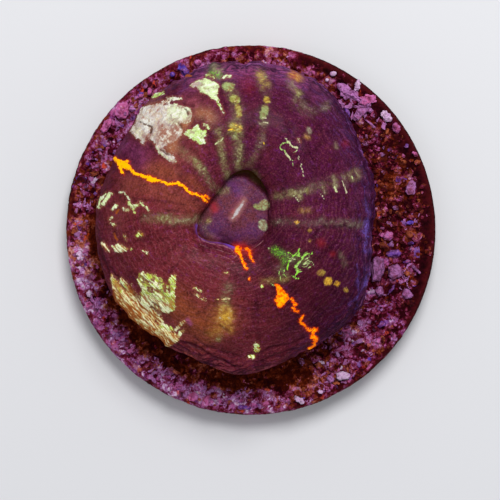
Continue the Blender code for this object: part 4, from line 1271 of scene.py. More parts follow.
def patched_skin(paint, noise, colours, skin):
    """Lays the pale and lime patches, with painted highlights on their ridges, and the rust over
    the skin.

    Gives the skin, where the patches are and the height of their ridges.
    """
    grain, blotch, ragged, net = noise.grain, noise.blotch, noise.ragged, noise.net
    strand, marble = patch_strands(paint, noise)
    earthy, lime, lace = paint.noted("earthy"), paint.noted("lime"), paint.noted("lace")
    smooth_side = 1.0 - earthy
    patch = paint.noted("patch") + ragged * 1.9 + strand * 0.2 + (grain - 0.5) * 0.6
    rust = (paint.noted("rust") + ragged * 0.9).ease(-0.15, 0.15, 0.9)
    skin = paint.over(skin, (patch.ease(-0.7, 0.0, 0.45), shade(150, 84, 66)),
                      (rust, colours.rust))
    patch = patch.ease(-0.05, 0.1)
    for hole in ((paint.noted("crack") + ragged * 1.6).ease(-0.16, 0.2, 0.7),
                 lace * (blotch + strand * 0.14 + ragged * 0.35).ease(0.54, 0.44, 0.9),
                 paint.noted("veil") * (blotch + ragged * 0.3).ease(0.6, 0.46, 0.9),
                 rust * 0.8):
        patch = patch * (1.0 - hole)
    netting = paint.ramp(
        net + ragged * 0.12 + (blotch - 0.5) * 0.1, (0.79, shade(112, 60, 62)),
        (0.87, shade(168, 160, 96)), (0.92, colours.lime), (0.98, shade(232, 232, 60)))
    groove = paint.mix(earthy, shade(176, 126, 112), colours.rust)
    # Painted highlights on the patches' ridge tops.
    crests = paint.mix(earthy, shade(246, 244, 232), shade(250, 246, 208))
    plain = 1.0 - lime * smooth_side * 0.75
    gaps = (strand + smooth_side * 0.36).ease(0.09, -0.18, 0.95)
    gaps = gaps * (1.0 - earthy * lime.ease(0.35, 0.6, 0.15))
    pale = paint.over(
        paint.ramp(lime + ragged * 1.3 + (blotch - 0.5) * 0.9 * earthy, (0.0, colours.cream),
                   (0.52, shade(230, 246, 190)), (1.0, colours.lime)),
        (earthy * lime.ease(0.6, 0.3, 0.7), shade(226, 206, 112)),
        (lime.ease(0.5, 0.2) * smooth_side
         * (blotch + noise.broken).ease(0.45, 0.63, 0.7), shade(208, 174, 132)),
        (smooth_side * marble.ease(0.06, -0.45, 0.7), shade(162, 136, 130)),
        (lace * blotch.ease(0.62, 0.46, 0.9), netting),
        (gaps * plain * (1.0 - lace * 0.7), groove),
        ((strand + (grain - 0.5)).ease(0.05, 0.4, 0.8), crests),
        (blotch.ease(0.42, 0.28, 0.55) * plain, groove))
    cracked = (paint.noted("crack") + ragged * 1.7).ease(-0.22, 0.22, 0.72)
    skin = paint.over(
        skin,
        (patch, paint.dim(pale, 0.66 + earthy * lime * 0.24 + grain * 0.66)),
        (cracked * paint.noted("patch").ease(-0.3, 0.1),
         paint.mix(earthy, shade(66, 46, 28), shade(112, 52, 28))))
    return skin, patch, ragged + strand * 0.6


def tissue_finish(colours):
    """Wet skin with glowing veins, threads and the mouth's slit, and the foot's stony wall."""
    paint = Paint(bpy.data.materials.new("tissue_finish"), Specular_IOR_Level=0.0,
                  Coat_Weight=0.06, Coat_Roughness=0.3, Emission_Strength=0.35)
    noise = tissue_noises(paint)
    blotch, ragged, stone = noise.blotch, noise.ragged, paint.noted("stone")
    skin = lit_skin(paint, noise, colours, bare_skin(paint, noise, colours))
    skin, patch, ridges = patched_skin(paint, noise, colours, skin)
    thread = (paint.noted("thread") + ragged * 0.9).ease(-0.08, 0.1)
    thread_colour = paint.ramp(paint.noted("creamy") * 0.5, (0.0, colours.thread),
                               (0.5, shade(204, 198, 160)), (1.0, shade(255, 204, 48)))
    heat = paint.noted("vein") + ragged * 2.0
    vein = heat.ease(-0.05, 0.06)
    molten = paint.noted("vein") * 0.7 + (blotch - 0.5) * 1.8 + (noise.net - 0.82) * 2.6
    molten = molten + paint.noted("tone").ease(0.44, 0.3, 0.9)
    fire = paint.mix(molten.ease(-0.1, 0.55), shade(246, 88, 6), shade(255, 140, 16))
    fire = paint.mix(molten.ease(0.45, 1.0), fire, colours.flame)
    slit = paint.noted("slit") + ragged
    chalk = paint.mix(paint.noise(noise.place, 1.6 * MM, 4.0, 0.7).ease(0.35, 0.7),
                      shade(92, 30, 44), shade(186, 138, 150))
    skin = paint.over(
        skin,
        # Threads, and the painted highlights that are drawn like them.
        (thread, thread_colour),
        (heat.ease(-0.5, 0.02, 0.5), colours.ember),
        (vein, fire),
        (slit.ease(-1.3, 0.0, 0.45), shade(190, 130, 116)),
        ((slit + (noise.grain - 0.5) * 0.8).ease(-0.3, 0.3, 0.75), shade(210, 212, 212)),
        (paint.noted("pit"), colours.pit),
        (stone, chalk))
    # Painted glow: the veins, and more weakly the threads and their glints, give off light of
    # their own.
    shine = paint.over((0.0, 0.0, 0.0), (vein, fire), (thread * 0.4, thread_colour))
    relief = noise.fibre * 0.3 + noise.grain * 0.5 + noise.crinkle * paint.noted("folds") * 0.8
    return paint.use(Base_Color=skin, Roughness=0.6 + patch * 0.15 + stone * 0.2,
                     Emission_Color=shine,
                     Normal=paint.bump(relief + patch * ridges, 0.22 * MM, 0.8))


class SCOLYMIA_OT_coral_polyp(bpy.types.Operator):
    """Models the coral: oral disc, pit, mantle, skirt and stony foot, in one grown piece"""
    bl_idname = "scolymia.coral_polyp"
    bl_label = "Coral polyp"

    def execute(self, context):
        piece = grid_disc("living_polyp", POLYP_CELLS)
        shape_polyp(piece.data, context.scene.scolymia_polyp)
        finish_piece(piece, "wet_tissue", tissue_finish(context.scene.scolymia_tissue), POLYP_NODE)
        return {"FINISHED"}


# ---------------- the crust's colours
# Stretches of lighter and of warmer crust: degrees round the disc, half width and strength.
LIGHT_STRETCHES = [
    (137, 22, 0.24), (-44, 18, 0.14), (175, 18, -0.26), (-164, 15, 0.16), (48, 18, -0.24),
    (82, 9, 0.4), (112, 10, 0.24), (14, 38, -0.3), (-74, 18, -0.18), (-21, 10, -0.16),
    (-109, 8, 0.22),
]
WARM_STRETCHES = [
    (22, 34, 0.36), (84, 26, 0.35), (-179, 26, 0.65), (-30, 22, -0.35), (137, 22, -0.15),
    (-74, 20, 0.45),
]


def smooth_rim(angle, reach):
    """Where the disc keeps a smooth dark rim, on the +X side."""
    return ease(reach, DISC_RADIUS - 4.4 * MM, DISC_RADIUS - 3.2 * MM) * ease(
        swell(angle, 22, 72), 0.1, 0.3)


def crust_zones(places):
    """How light, how warm and how smooth the crust is round the disc, darker in a band of painted
    shadow under the polyp's low left side.
    """
    angle = np.arctan2(places[:, 1], places[:, 0])
    reach = reach_of(places)
    wander = rough(places, 5.0 * MM, 2, 81)
    low_left = ease(swell(angle, -128, 76), 0.0, 0.25)
    # Painted shadow: a band under the polyp's low left side, made darker as shade and browner in
    # colour.
    brown_shadow_band = low_left * fade(reach + 1.2 * MM * wander, 42.0 * MM, 45.2 * MM)
    outer = low_left * (1.0 - brown_shadow_band)
    smooth = smooth_rim(angle, reach + 1.6 * MM * wander)
    light = -0.1 - 0.42 * brown_shadow_band + 0.38 * outer - 0.45 * smooth
    for stretch in LIGHT_STRETCHES:
        light = light + stretch[2] * swell(angle, *stretch[:2])
    warm = 0.1 + 0.75 * brown_shadow_band - 0.25 * outer
    for stretch in WARM_STRETCHES:
        warm = warm + stretch[2] * swell(angle, *stretch[:2])
    return {"light": light + 0.12 * wander, "warm": warm, "smooth": smooth,
            "brown_shadow_band": brown_shadow_band}


def crust_mosaic(paint, place, colours, lean=0.0):
    """Crusts of many kinds grown over each other, from dark red through brown to lilac."""
    place = paint.stirred(place, 1.4 * MM, 3.0, 1.6 * MM)
    grain = paint.noise(place, 0.42 * MM, 4.0, 0.75)
    spread = paint.noise(place, 3.2 * MM, 4.0, 0.7)
    kind = paint.noise(place, 2.6 * MM, 3.0, 0.6, (1.7, 0.0, 0.0))
    chip = paint.add("ShaderNodeSeparateColor", None, {0: paint.cells(place, 1.15 * MM)})
    tint, spark = paint.part(chip, 1), paint.part(chip, 2)
    level = 0.42 + (spread - 0.5) * 2.2 + (chip - 0.5) * 0.42 + (grain - 0.5) * 0.6
    # The light attribute carries the painted shadow band as well as the crust's own lightness.
    level = level + paint.noted("light") * 0.55 + lean
    warm = paint.noted("warm") * 0.22 + kind + (tint - 0.5) * 0.15
    cool = (tint - paint.noted("warm") * 0.25).ease(0.62, 0.8, 0.45)
    flushed = (kind + (0.5 - tint) * 0.3).ease(0.44, 0.34, 0.7)
    rust = paint.ramp(level, (0.05, shade(70, 22, 10)), (0.34, colours.brown),
                      (0.66, colours.warm), (0.9, shade(220, 150, 130)))
    crust = paint.over(
        paint.ramp(level, (0.18, colours.crimson), (0.36, colours.wine), (0.52, colours.rose),
                   (0.64, colours.mauve), (0.78, colours.lilac), (0.96, colours.pale)),
        (warm.ease(0.54, 0.64, 0.85), rust),
        (cool * level.ease(0.4, 0.55), colours.violet),
        (flushed * level.ease(0.45, 0.6), colours.pink),
        (spark.ease(0.982, 0.99, 0.7) * level.ease(0.3, 0.45), shade(222, 78, 26)),
        (spark.ease(0.012, 0.006, 0.7) * level.ease(0.3, 0.5), colours.blue))
    return paint.dim(crust, 0.62 + 0.76 * grain), level, grain


# ---------------- the base disc
DISC_CELLS = 300
CHIP_SEED = 41

# Ring number, reach and height of the disc's section, in millimetres.
DISC_SECTION = [
    (0.0, 0.0, 9.0), (0.12, 18.0, 9.0), (0.68, 48.0, 9.0), (0.69, 48.8, 8.85),
    (0.705, 49.4, 8.4), (0.72, 49.85, 7.8), (0.735, 50.0, 7.0), (0.865, 50.0, 0.9),
    (0.875, 49.8, 0.3), (0.885, 49.2, 0.0), (1.0, 24.0, 0.0),
]


def disc_relief(places, sizes, smooth):
    """Height of the disc's crust over the plain disc."""
    border, own = chips(places, sizes.chip, CHIP_SEED)
    raised = ease(border, 0.0, 0.3) * (0.5 + 0.5 * own)
    lumps = raised + 0.9 * rough(places, 4.0 * MM, 3, 45) + 0.6 * rough(places, 1.0 * MM, 3, 48)
    return sizes.crust * lumps * (1.0 - 0.65 * smooth)


def shape_disc(mesh, sizes):
    """Turns the flat grid into the crusted disc, plain underneath."""
    ring, angle = square_to_round(corners_of(mesh))
    knots = np.array(DISC_SECTION)
    reach = np.interp(ring, knots[:, 0], knots[:, 1]) * MM
    height = np.interp(ring, knots[:, 0], knots[:, 2]) * MM
    base = np.stack([reach * np.cos(angle), reach * np.sin(angle), height], axis=1)
    move_corners(mesh, base)
    zones = crust_zones(base)
    lift = disc_relief(base, sizes, zones["smooth"]) * fade(ring, 0.84, 0.87)
    lift *= 0.35 + 0.65 * fade(ring, 0.685, 0.73)
    move_corners(mesh, base + corners_of(mesh, "normal") * lift[:, None])
    # Rim marks the top's rounded edge, where a highlight is painted.
    note(mesh, light=zones["light"] - 0.32 * ease(ring, 0.7, 0.75), warm=zones["warm"],
         smooth=zones["smooth"], border=chips(base, sizes.chip, CHIP_SEED)[0],
         rim=ease(ring, 0.675, 0.7) * fade(ring, 0.7, 0.73), under=ease(ring, 0.855, 0.88))


def disc_finish(colours):
    """Crusts grown over the disc's top and side, with a painted highlight along the top's rounded
    edge, and a plain grey-brown underside.
    """
    paint = Paint(bpy.data.materials.new("disc_finish"), Specular_IOR_Level=0.03)
    place = paint.place()
    crust, level, grain = crust_mosaic(paint, place, colours)
    film = paint.mix(paint.noise(place, 1.6 * MM, 4.0, 0.7).ease(0.35, 0.68),
                     shade(24, 4, 11), shade(64, 15, 26))
    plain = paint.mix(paint.noise(place, 3.2 * MM, 3.0).ease(0.3, 0.7),
                      shade(126, 108, 104), shade(92, 62, 66))
    crust = paint.over(crust,
                       (paint.noted("border").ease(0.16, 0.0, 0.5), colours.crimson),
                       (paint.noted("smooth") * level.ease(0.6, 0.35, 0.8), film),
                       # Painted highlight along the disc's rounded edge.
                       (paint.noted("rim") * 0.15, shade(140, 44, 44)),
                       (paint.noted("under"), plain))
    relief = grain * 0.6 + paint.noise(place, 1.2 * MM, 4.0, 0.65) * 0.8
    return paint.use(Base_Color=crust, Roughness=0.6 + grain * 0.25,
                     Normal=paint.bump(relief, 0.4 * MM, 1.0))


class SCOLYMIA_OT_base_disc(bpy.types.Operator):
    """Models the round base disc, with its crust and its plain underside"""
    bl_idname = "scolymia.base_disc"
    bl_label = "Base disc"

    def execute(self, context):
        piece = grid_disc("crusted_disc", DISC_CELLS)
        shape_disc(piece.data, context.scene.scolymia_rubble)
        finish_piece(piece, "crusted_rock", disc_finish(context.scene.scolymia_crust), DISC_NODE)
        return {"FINISHED"}


# ---------------- stones, flakes and beads
# For each finish: its main colour, its second colour, how much of the disc's own crust grows
# over it and how rough it is.
CRUST_FINISHES = {
    "crusted_rock": ("wine", "brown", 0.85, 0.75),
    "lilac_crust": ("lilac", "mauve", 0.6, 0.6),
    "violet_crust": ("violet", "lilac", 0.55, 0.55),
    "pink_crust": ("pink", "lilac", 0.5, 0.6),
    "pale_shell": ("pale", "lilac", 0.4, 0.5),
    "blue_crust": ("blue", "lilac", 0.5, 0.55),
    "warm_crumb": ("warm", "brown", 0.6, 0.65),
}
# Loose pieces take the painted shadow band's darkening only down to this.
DARKEST_STONE = -0.3
BEADS = ("peach_bead", "grey_oval_pebble", "pearl_bead", "small_pearl_bead", "pale_blue_pebble",
         "pink_pebble", "white_bead")


def crust_finish(name, colours):
    """A main colour mottled with a second one, partly overgrown by the disc's crusts."""
    made = bpy.data.materials.get(name + "_finish")
    if made:
        return made
    main, second, share, roughness = CRUST_FINISHES[name]
    paint = Paint(bpy.data.materials.new(name + "_finish"), Specular_IOR_Level=0.06)
    place = paint.place()
    own, grown = paint.noted("own"), paint.noted("grown")
    mosaic, _, grain = crust_mosaic(paint, place, colours, (own - 0.5) * 0.35)
    mottle = paint.noise(place, 1.3 * MM, 4.0, 0.65)
    crust = paint.over(
        paint.mix((mottle + own * 0.35).ease(0.5, 0.85), getattr(colours, main),
                  getattr(colours, second)),
        (grain.ease(0.56, 0.8, 0.45), colours.pale),
        (mottle.ease(0.48, 0.32, 0.8), colours.wine))
    crust = paint.dim(crust, (0.55 + 0.8 * grain) * (1.25 - own * 0.2 - grown * 0.5))
    patchy = paint.noise(place, 1.5 * MM, 3.0, 0.6).ease(0.72 - 0.5 * share, 0.86 - 0.5 * share)
    relief = mottle * 0.6 + grain * 0.5
    return paint.use(Base_Color=paint.mix(patchy * grown, crust, mosaic),
                     Roughness=roughness + grain * 0.2 - 0.1,
                     Normal=paint.bump(relief, 0.25 * MM, 1.0))


def note_crust(mesh, own, grown):
    """Keeps on a loose piece what the crust's finish reads."""
    zones = crust_zones(corners_of(mesh))
    note(mesh, own=own, grown=grown, light=np.maximum(zones["light"], DARKEST_STONE),
         warm=zones["warm"])


def copy_node(node):
    """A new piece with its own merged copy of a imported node's mesh."""
    deselect_all()
    piece = bpy.data.objects.new("worn_" + node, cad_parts[node].data.copy())
    bpy.context.collection.objects.link(piece)
    bpy.context.view_layer.objects.active = piece
    piece.select_set(True)
    bpy.ops.object.mode_set(mode="EDIT")
    bpy.ops.mesh.select_all(action="SELECT")
    bpy.ops.mesh.remove_doubles(threshold=0.01 * MM)
    bpy.ops.mesh.tris_convert_to_quads()
    bpy.ops.object.mode_set(mode="OBJECT")
    return piece


def apply_modifier(piece, kind, **settings):
    """Adds a modifier with its settings and applies it."""
    modifier = piece.modifiers.new(kind.lower(), kind)
    for key, value in settings.items():
        setattr(modifier, key, value)
    bpy.context.view_layer.objects.active = piece
    bpy.ops.object.modifier_apply(modifier=modifier.name)


def weather(mesh, coarse, fine, seed, swelling):
    """Wears a mesh: uneven lumps of two sizes, pushed along its normals."""
    places = corners_of(mesh)
    middle = 0.5 * (places.min(axis=0) + places.max(axis=0))
    places = middle + (places - middle) * swelling
    lift = coarse * rough(places, 1.7 * MM, 3, seed) + fine * rough(places, 0.5 * MM, 2, seed + 5)
    places = places + corners_of(mesh, "normal") * lift[:, None]
    places[:, 2] = np.maximum(places[:, 2], DISC_TOP + 0.05 * MM)
    move_corners(mesh, places)


def loose_nodes(wanted):
    """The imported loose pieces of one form, in order."""
    for node in sorted(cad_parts):
        if node in (DISC_NODE, POLYP_NODE):
            continue
        form = "flake" if "flake" in node else "bead" if node in BEADS else "stone"
        if form == wanted:
            yield node


def wear_loose(context, form, grown, wear, *modifiers):
    """Copies, refines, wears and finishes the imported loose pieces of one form.

    The wear is the height of its coarse and fine lumps in millimetres, the first piece's seed
    and how far the piece swells.
    """
    coarse, fine, first, swelling = wear
    for number, node in enumerate(loose_nodes(form)):
        piece = copy_node(node)
        for kind, settings in modifiers:
            apply_modifier(piece, kind, **settings)
        weather(piece.data, coarse * MM, fine * MM, first + number, swelling)
        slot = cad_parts[node].data.materials[0].name
        count = len(piece.data.vertices)
        note_crust(piece.data, np.full(count, 0.12 + 0.05 * (number % 5)), np.full(count, grown))
        finish_piece(piece, slot, crust_finish(slot, context.scene.scolymia_crust), node)
    return {"FINISHED"}


class SCOLYMIA_OT_stones(bpy.types.Operator):
    """Rounds and wears the chips and stones of crusted rock"""
    bl_idname = "scolymia.stones"
    bl_label = "Loose stones"

    def execute(self, context):
        return wear_loose(context, "stone", 0.6, (0.5, 0.34, 60, 1.06),
                          ("BEVEL", {"width": 0.16 * MM, "segments": 2}),
                          ("SUBSURF", {"levels": 2, "subdivision_type": "SIMPLE"}))


class SCOLYMIA_OT_flakes(bpy.types.Operator):
    """Curls and frays the thin flakes of crust"""
    bl_idname = "scolymia.flakes"
    bl_label = "Loose flakes"

    def execute(self, context):
        return wear_loose(context, "flake", 0.3, (0.9, 0.45, 110, 1.0),
                          ("SUBSURF", {"levels": 3}))


class SCOLYMIA_OT_beads(bpy.types.Operator):
    """Smooths the small water-worn pebbles and shell beads"""
    bl_idname = "scolymia.beads"
    bl_label = "Pebbles and beads"

    def execute(self, context):
        return wear_loose(context, "bead", 0.45, (0.12, 0.06, 140, 1.0),
                          ("SUBSURF", {"levels": 2}))


# ---------------- crumbs
CRUMB_SEED = 9
CRUMB_KINDS = ("chip", "chip", "slab", "flake", "bead")
SHEET_COLUMNS = {"flake": 3, "leaf": 5}
SHARP_ANGLE = math.radians(40)
FOOT_CLEARANCE = 1.2 * MM
RIM_CLEARANCE = 1.3 * MM
STONE_CLEARANCE = 0.1 * MM

# Clusters of thin upright leaves: middle, spread, number and usual length, in millimetres.
LEAF_CLUSTERS = [
    ((28.6, 34.6), 3.4, 20, 2.8), ((31.6, 32.6), 2.4, 10, 3.0), ((-37.6, 31.4), 4.0, 30, 2.4),
    ((36.0, 29.8), 1.2, 9, 2.2), ((41.6, -13.5), 2.6, 26, 1.3), ((34.0, -20.0), 3.0, 14, 1.6),
    ((-44.0, 8.0), 3.0, 14, 1.5), ((20.0, -41.5), 3.6, 18, 1.5), ((-25.0, -38.5), 3.2, 16, 1.5),
    ((-41.0, -19.5), 3.2, 16, 1.5), ((43.6, 2.0), 2.4, 12, 1.2), ((-3.0, -44.5), 3.0, 14, 1.3),
]


def model_crumb(kind):
    """One small grain about 1 wide: a chip, a slab, a curled flake, a bead or a leaf."""
    deselect_all()
    if kind == "slab":
        bpy.ops.mesh.primitive_cube_add(size=1.0)
    elif kind in SHEET_COLUMNS:
        bpy.ops.mesh.primitive_grid_add(x_subdivisions=SHEET_COLUMNS[kind], y_subdivisions=2,
                                        size=1.0)
    else:
        bpy.ops.mesh.primitive_ico_sphere_add(subdivisions=1, radius=0.55)
    piece = bpy.context.object
    places = corners_of(piece.data)
    if kind == "flake":
        places[:, 2] += 0.35 - 1.2 * places[:, 0] ** 2 + 0.4 * places[:, 0] * places[:, 1]
        places[:, 1] *= 1.0 - 0.9 * places[:, 0] ** 2
        move_corners(piece.data, places)
        apply_modifier(piece, "SOLIDIFY", thickness=0.16)
    elif kind == "leaf":
        along = places[:, 0] + 0.5
        places[:, 1] = places[:, 1] * (0.3 + 0.55 * along) + 0.16 * np.sin(4.0 * along)
        places[:, 2] = 0.22 * along + 0.25 * along ** 2 + 0.1 * np.cos(5.0 * places[:, 1])
        move_corners(piece.data, places)
        apply_modifier(piece, "SOLIDIFY", thickness=0.12)
    elif kind == "slab":
        apply_modifier(piece, "BEVEL", width=0.16, segments=1)
    elif kind == "chip":
        bpy.ops.object.mode_set(mode="EDIT")
        for broken_side in ((0.5, 0.3, 0.9), (-0.8, 0.5, 0.3), (0.2, -0.9, 0.4)):
            bpy.ops.mesh.select_all(action="SELECT")
            bpy.ops.mesh.bisect(plane_co=[0.3 * part for part in broken_side],
                                plane_no=broken_side, use_fill=True, clear_outer=True)
        bpy.ops.object.mode_set(mode="OBJECT")
    mesh = piece.data
    mesh.calc_loop_triangles()
    corners = corners_of(mesh)
    triangles = np.array([triangle.vertices[:] for triangle in mesh.loop_triangles])
    bpy.data.objects.remove(piece)
    return corners, triangles


def crumb_spots(sizes, rng):
    """Even but jittered spots on the disc's top, clear of the polyp's foot and the rim."""
    step = sizes.spacing
    count = int(2 * DISC_RADIUS / step)
    across, along = np.meshgrid(np.arange(count), np.arange(count))
    spots = np.stack([across.ravel() + 0.5 * (along.ravel() % 2), along.ravel() * 0.9], axis=1)
    spots = spots * step - DISC_RADIUS + rng.uniform(-0.45, 0.45, spots.shape) * step
    spots = np.concatenate([spots, spots[rng.random(len(spots)) < 0.3]
                            + rng.uniform(-0.6, 0.6) * step])
    arm = spots - PIT_CENTRE
    turn = np.arctan2(arm[:, 1], arm[:, 0])
    outside = reach_of(arm) > FOOT_SHARE * EDGE_AT(turn) + FOOT_CLEARANCE
    zones = crust_zones(np.column_stack([spots, np.zeros(len(spots))]))
    # Crumbs are thinned on the smooth rim and in the band of painted shadow.
    bare = np.maximum(0.75 * zones["smooth"], 0.93 * zones["brown_shadow_band"])
    kept = rng.random(len(spots)) > bare
    return spots[outside & (reach_of(spots) < DISC_RADIUS - RIM_CLEARANCE) & kept]


def clear_of_stones(spots):
    """Which spots lie clear of the larger loose pieces."""
    free = np.ones(len(spots), bool)
    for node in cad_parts:
        if node not in (DISC_NODE, POLYP_NODE):
            low, high = (np.array(corner)[:2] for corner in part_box(node))
            free &= ~np.all((spots > low - STONE_CLEARANCE) & (spots < high + STONE_CLEARANCE),
                            axis=1)
    return free


def crumb_finishes(spots, rng):
    """Picks a finish for each crumb: like ones lie together, and each side has its own."""
    flat = np.column_stack([spots, np.zeros(len(spots))])
    zones = crust_zones(flat)
    light = np.clip(0.5 + zones["light"], 0.05, 1.2)
    warm = np.clip(0.5 + zones["warm"], 0.05, 1.4)
    weights = {
        "crusted_rock": 1.2 + 0.6 * warm, "lilac_crust": 0.62 * light,
        "violet_crust": 0.22 * light, "pink_crust": 0.5 * light, "pale_shell": 0.08 * light,
        "blue_crust": 0.04 * light, "warm_crumb": 0.42 * warm,
    }
    names = list(weights)
    table = np.stack([weights[name] * np.exp(2.2 * rough(flat + 0.3 * i, 3.6 * MM, 2, 70 + i))
                      for i, name in enumerate(names)], axis=1)
    share = np.cumsum(table, axis=1) / table.sum(axis=1, keepdims=True)
    return names, (rng.random(len(spots))[:, None] > share).sum(axis=1)


def set_grain(master, spot, level, stretch, turn, tip, rng):
    """Moves one modelled grain to its spot: stretched, tipped, turned and a little uneven."""
    grain = master * (1.0 + 0.3 * rng.uniform(-1.0, 1.0, master.shape)) * stretch
    spin = np.array([[math.cos(turn), math.sin(turn), 0.0],
                     [-math.sin(turn), math.cos(turn), 0.0], [0.0, 0.0, 1.0]])
    lean = np.array([[math.cos(tip), 0.0, math.sin(tip)], [0.0, 1.0, 0.0],
                     [-math.sin(tip), 0.0, math.cos(tip)]])
    grain = grain @ lean @ spin
    grain[:, :2] += spot
    grain[:, 2] += level
    return grain


def ground_level(spots, sizes):
    """Height of the crust's surface at spots on the disc."""
    top = np.column_stack([spots, np.full(len(spots), DISC_TOP)])
    return DISC_TOP + disc_relief(top, sizes, crust_zones(top)["smooth"])


def lay_crumbs(spots, masters, sizes, rng):
    """Copies the modelled grains to their spots: corner points, triangles and own value."""
    for spot, level in zip(spots, ground_level(spots, sizes)):
        corners, triangles = masters[rng.integers(len(masters))]
        width = sizes.crumb * rng.lognormal(-0.2, 0.38)
        stretch = width * np.array([rng.uniform(0.9, 1.6), rng.uniform(0.6, 1.0),
                                    rng.uniform(0.3, 0.62)])
        turn, tip = rng.uniform(0.0, math.tau), rng.normal(0.0, 0.25)
        laid = set_grain(corners, spot, level + 0.12 * stretch[2], stretch, turn, tip, rng)
        yield laid, triangles, rng.random()


def lay_leaves(sizes, rng):
    """Stands thin leaves in their clusters, fanned out from each cluster's middle."""
    corners, triangles = model_crumb("leaf")
    for (x, y), spread, number, length in LEAF_CLUSTERS:
        middle = np.array([x, y]) * MM
        spots = middle + rng.normal(0.0, 0.5 * spread * MM, (number, 2))
        spots = spots[reach_of(spots) < DISC_RADIUS - (1.6 + 0.7 * length) * MM]
        for spot, level in zip(spots, ground_level(spots, sizes)):
            arm = spot - middle
            turn = math.atan2(arm[1], arm[0]) + rng.normal(0.0, 0.7)
            size = length * MM * rng.lognormal(-0.1, 0.3)
            stretch = size * np.array([1.0, rng.uniform(0.25, 0.5), rng.uniform(0.5, 1.0)])
            laid = set_grain(corners, spot, level - 0.1 * MM, stretch, turn,
                             rng.normal(0.0, 0.3), rng)
            yield laid, triangles, 0.35 * rng.random()


class SCOLYMIA_OT_crumbs(bpy.types.Operator):
    """Strews the small grains of rubble over the disc, one joined mesh for each finish"""
    bl_idname = "scolymia.crumbs"
    bl_label = "Crumbs"

    def execute(self, context):
        sizes = context.scene.scolymia_rubble
        rng = np.random.default_rng(CRUMB_SEED)
        masters = [model_crumb(kind) for kind in CRUMB_KINDS]
        spots = crumb_spots(sizes, rng)
        spots = spots[clear_of_stones(spots)]
        names, picked = crumb_finishes(spots, rng)
        for number, name in enumerate(names):
            grains = lay_crumbs(spots[picked == number], masters, sizes, rng)
            self.join(context, "crumbs_" + name, name, grains, 0.9)
        self.join(context, "leaves", "lilac_crust", lay_leaves(sizes, rng), 0.2)
        return {"FINISHED"}

    def join(self, context, label, finish, grains, grown):
        """Makes one piece of many laid grains."""
        places, faces, own = [], [], []
        for corners, triangles, value in grains:
            faces.extend((triangles + len(places)).tolist())
            places.extend(corners.tolist())
            own.extend([value] * len(corners))
        mesh = bpy.data.meshes.new(label)
        mesh.from_pydata(places, [], faces)
        note_crust(mesh, np.array(own), np.full(len(places), grown))
        piece = bpy.data.objects.new(label, mesh)
        context.collection.objects.link(piece)
        finish_piece(piece, finish, crust_finish(finish, context.scene.scolymia_crust))
        mesh.set_sharp_from_angle(angle=SHARP_ANGLE)


# ---------------- the stage
FLOOR_WIDTH = 6.0
SENSOR_WIDTH = 36.0
LENS = 186.5
NEAREST, FARTHEST = 0.01, 20.0
LAMP_DISTANCE = 0.9
LAMP_WIDTH = 0.42
LAMP_HEIGHT = math.radians(60)
LAMP_SIDE = math.radians(78)
SKY_COLOUR = (0.93, 0.95, 1.0)
BACKDROP = 0.86


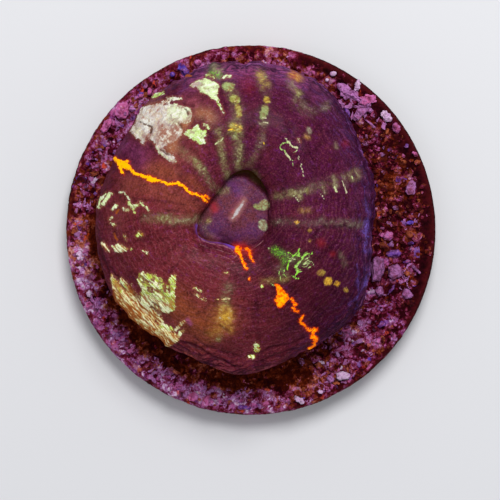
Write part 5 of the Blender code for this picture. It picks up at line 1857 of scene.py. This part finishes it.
class SCOLYMIA_OT_stage(bpy.types.Operator):
    """Sets up the floor, the camera over the object, the lights and the even sky"""
    bl_idname = "scolymia.stage"
    bl_label = "Stage"

    def execute(self, context):
        settings = context.scene.scolymia_stage
        context.scene.view_settings.view_transform = "Standard"
        self.add_floor(settings)
        self.add_camera(context)
        self.add_key(settings)
        self.add_sky(context, settings)
        return {"FINISHED"}

    def add_floor(self, settings):
        """A wide pale floor under the disc."""
        deselect_all()
        bpy.ops.mesh.primitive_plane_add(size=FLOOR_WIDTH)
        floor = bpy.context.object
        floor.name = "floor"
        paint = Paint(bpy.data.materials.new("floor_finish"), Roughness=0.9,
                      Specular_IOR_Level=0.1)
        dust = paint.noise(paint.place(), 0.2, 2.0).ease(0.2, 0.8, 0.04)
        floor.data.materials.append(paint.use(Base_Color=paint.mix(
            dust, settings.floor, shade(200, 200, 204))))
        floor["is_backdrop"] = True

    def add_camera(self, context):
        """A long lens straight over the disc, with +Y up in its view."""
        bpy.ops.object.camera_add(location=tuple(LOOKOUT), rotation=(0.0, 0.0, 0.0))
        camera = bpy.context.object
        camera.data.sensor_width = SENSOR_WIDTH
        camera.data.lens = LENS
        camera.data.clip_start = NEAREST
        camera.data.clip_end = FARTHEST
        context.scene.camera = camera

    def add_key(self, settings):
        """A soft lamp high on the far side, which throws the skirt's shadow towards -Y."""
        away = LAMP_DISTANCE * math.cos(LAMP_HEIGHT)
        place = (away * math.cos(LAMP_SIDE), away * math.sin(LAMP_SIDE),
                 LAMP_DISTANCE * math.sin(LAMP_HEIGHT))
        aim = (0.0, math.pi / 2 - LAMP_HEIGHT, LAMP_SIDE)
        bpy.ops.object.light_add(type="AREA", location=place, rotation=aim)
        lamp = bpy.context.object
        lamp.name = "key"
        lamp.data.shape = "DISK"
        lamp.data.size = LAMP_WIDTH
        lamp.data.energy = (settings.key * math.pi ** 2 * LAMP_DISTANCE ** 2
                            / math.sin(LAMP_HEIGHT))

    def add_sky(self, context, settings):
        """Even light from all round, seen by the camera as a pale backdrop."""
        paint = Paint(bpy.data.worlds.new("sky"), "Background")
        seen = paint.add("ShaderNodeLightPath")
        level = paint.add("ShaderNodeMapRange", None, {0: seen, 3: settings.sky, 4: BACKDROP})
        context.scene.world = paint.use(Color=SKY_COLOUR, Strength=level)


class SCOLYMIA_PT_panel(bpy.types.Panel):
    """Lists the steps, in the order in which they are run"""
    bl_idname = "SCOLYMIA_PT_panel"
    bl_label = "Scolymia"
    bl_space_type = "VIEW_3D"
    bl_region_type = "UI"
    bl_category = "Scolymia"

    def draw(self, context):
        for step in STEPS:
            self.layout.operator(step.bl_idname)
        for group in SETTINGS:
            box = self.layout.box()
            for key in SETTINGS[group].__annotations__:
                box.prop(getattr(context.scene, group), key)


STEPS = (SCOLYMIA_OT_stage, SCOLYMIA_OT_coral_polyp, SCOLYMIA_OT_base_disc, SCOLYMIA_OT_stones,
         SCOLYMIA_OT_flakes, SCOLYMIA_OT_beads, SCOLYMIA_OT_crumbs)
SETTINGS = {
    "scolymia_polyp": ScolymiaPolypSizes,
    "scolymia_tissue": ScolymiaTissueColours,
    "scolymia_rubble": ScolymiaRubbleSizes,
    "scolymia_crust": ScolymiaCrustColours,
    "scolymia_stage": ScolymiaStageSettings,
}


def register():
    """Registers the settings, the operators and the panel."""
    for name, group in SETTINGS.items():
        bpy.utils.register_class(group)
        setattr(bpy.types.Scene, name, bpy.props.PointerProperty(type=group))
    for kind in (*STEPS, SCOLYMIA_PT_panel):
        bpy.utils.register_class(kind)


def unregister():
    """Removes what register added."""
    for kind in (SCOLYMIA_PT_panel, *reversed(STEPS)):
        bpy.utils.unregister_class(kind)
    for name, group in SETTINGS.items():
        delattr(bpy.types.Scene, name)
        bpy.utils.unregister_class(group)


def main():
    """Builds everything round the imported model."""
    cad_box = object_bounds()
    register()
    bpy.ops.scolymia.stage()
    bpy.ops.scolymia.coral_polyp()
    bpy.ops.scolymia.base_disc()
    bpy.ops.scolymia.stones()
    bpy.ops.scolymia.flakes()
    bpy.ops.scolymia.beads()
    bpy.ops.scolymia.crumbs()
    boxes = {"cad": cad_box, "visual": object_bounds()}
    {name: [list(corner) for corner in box] for name, box in boxes.items()}


if __name__ == "__main__":
    main()
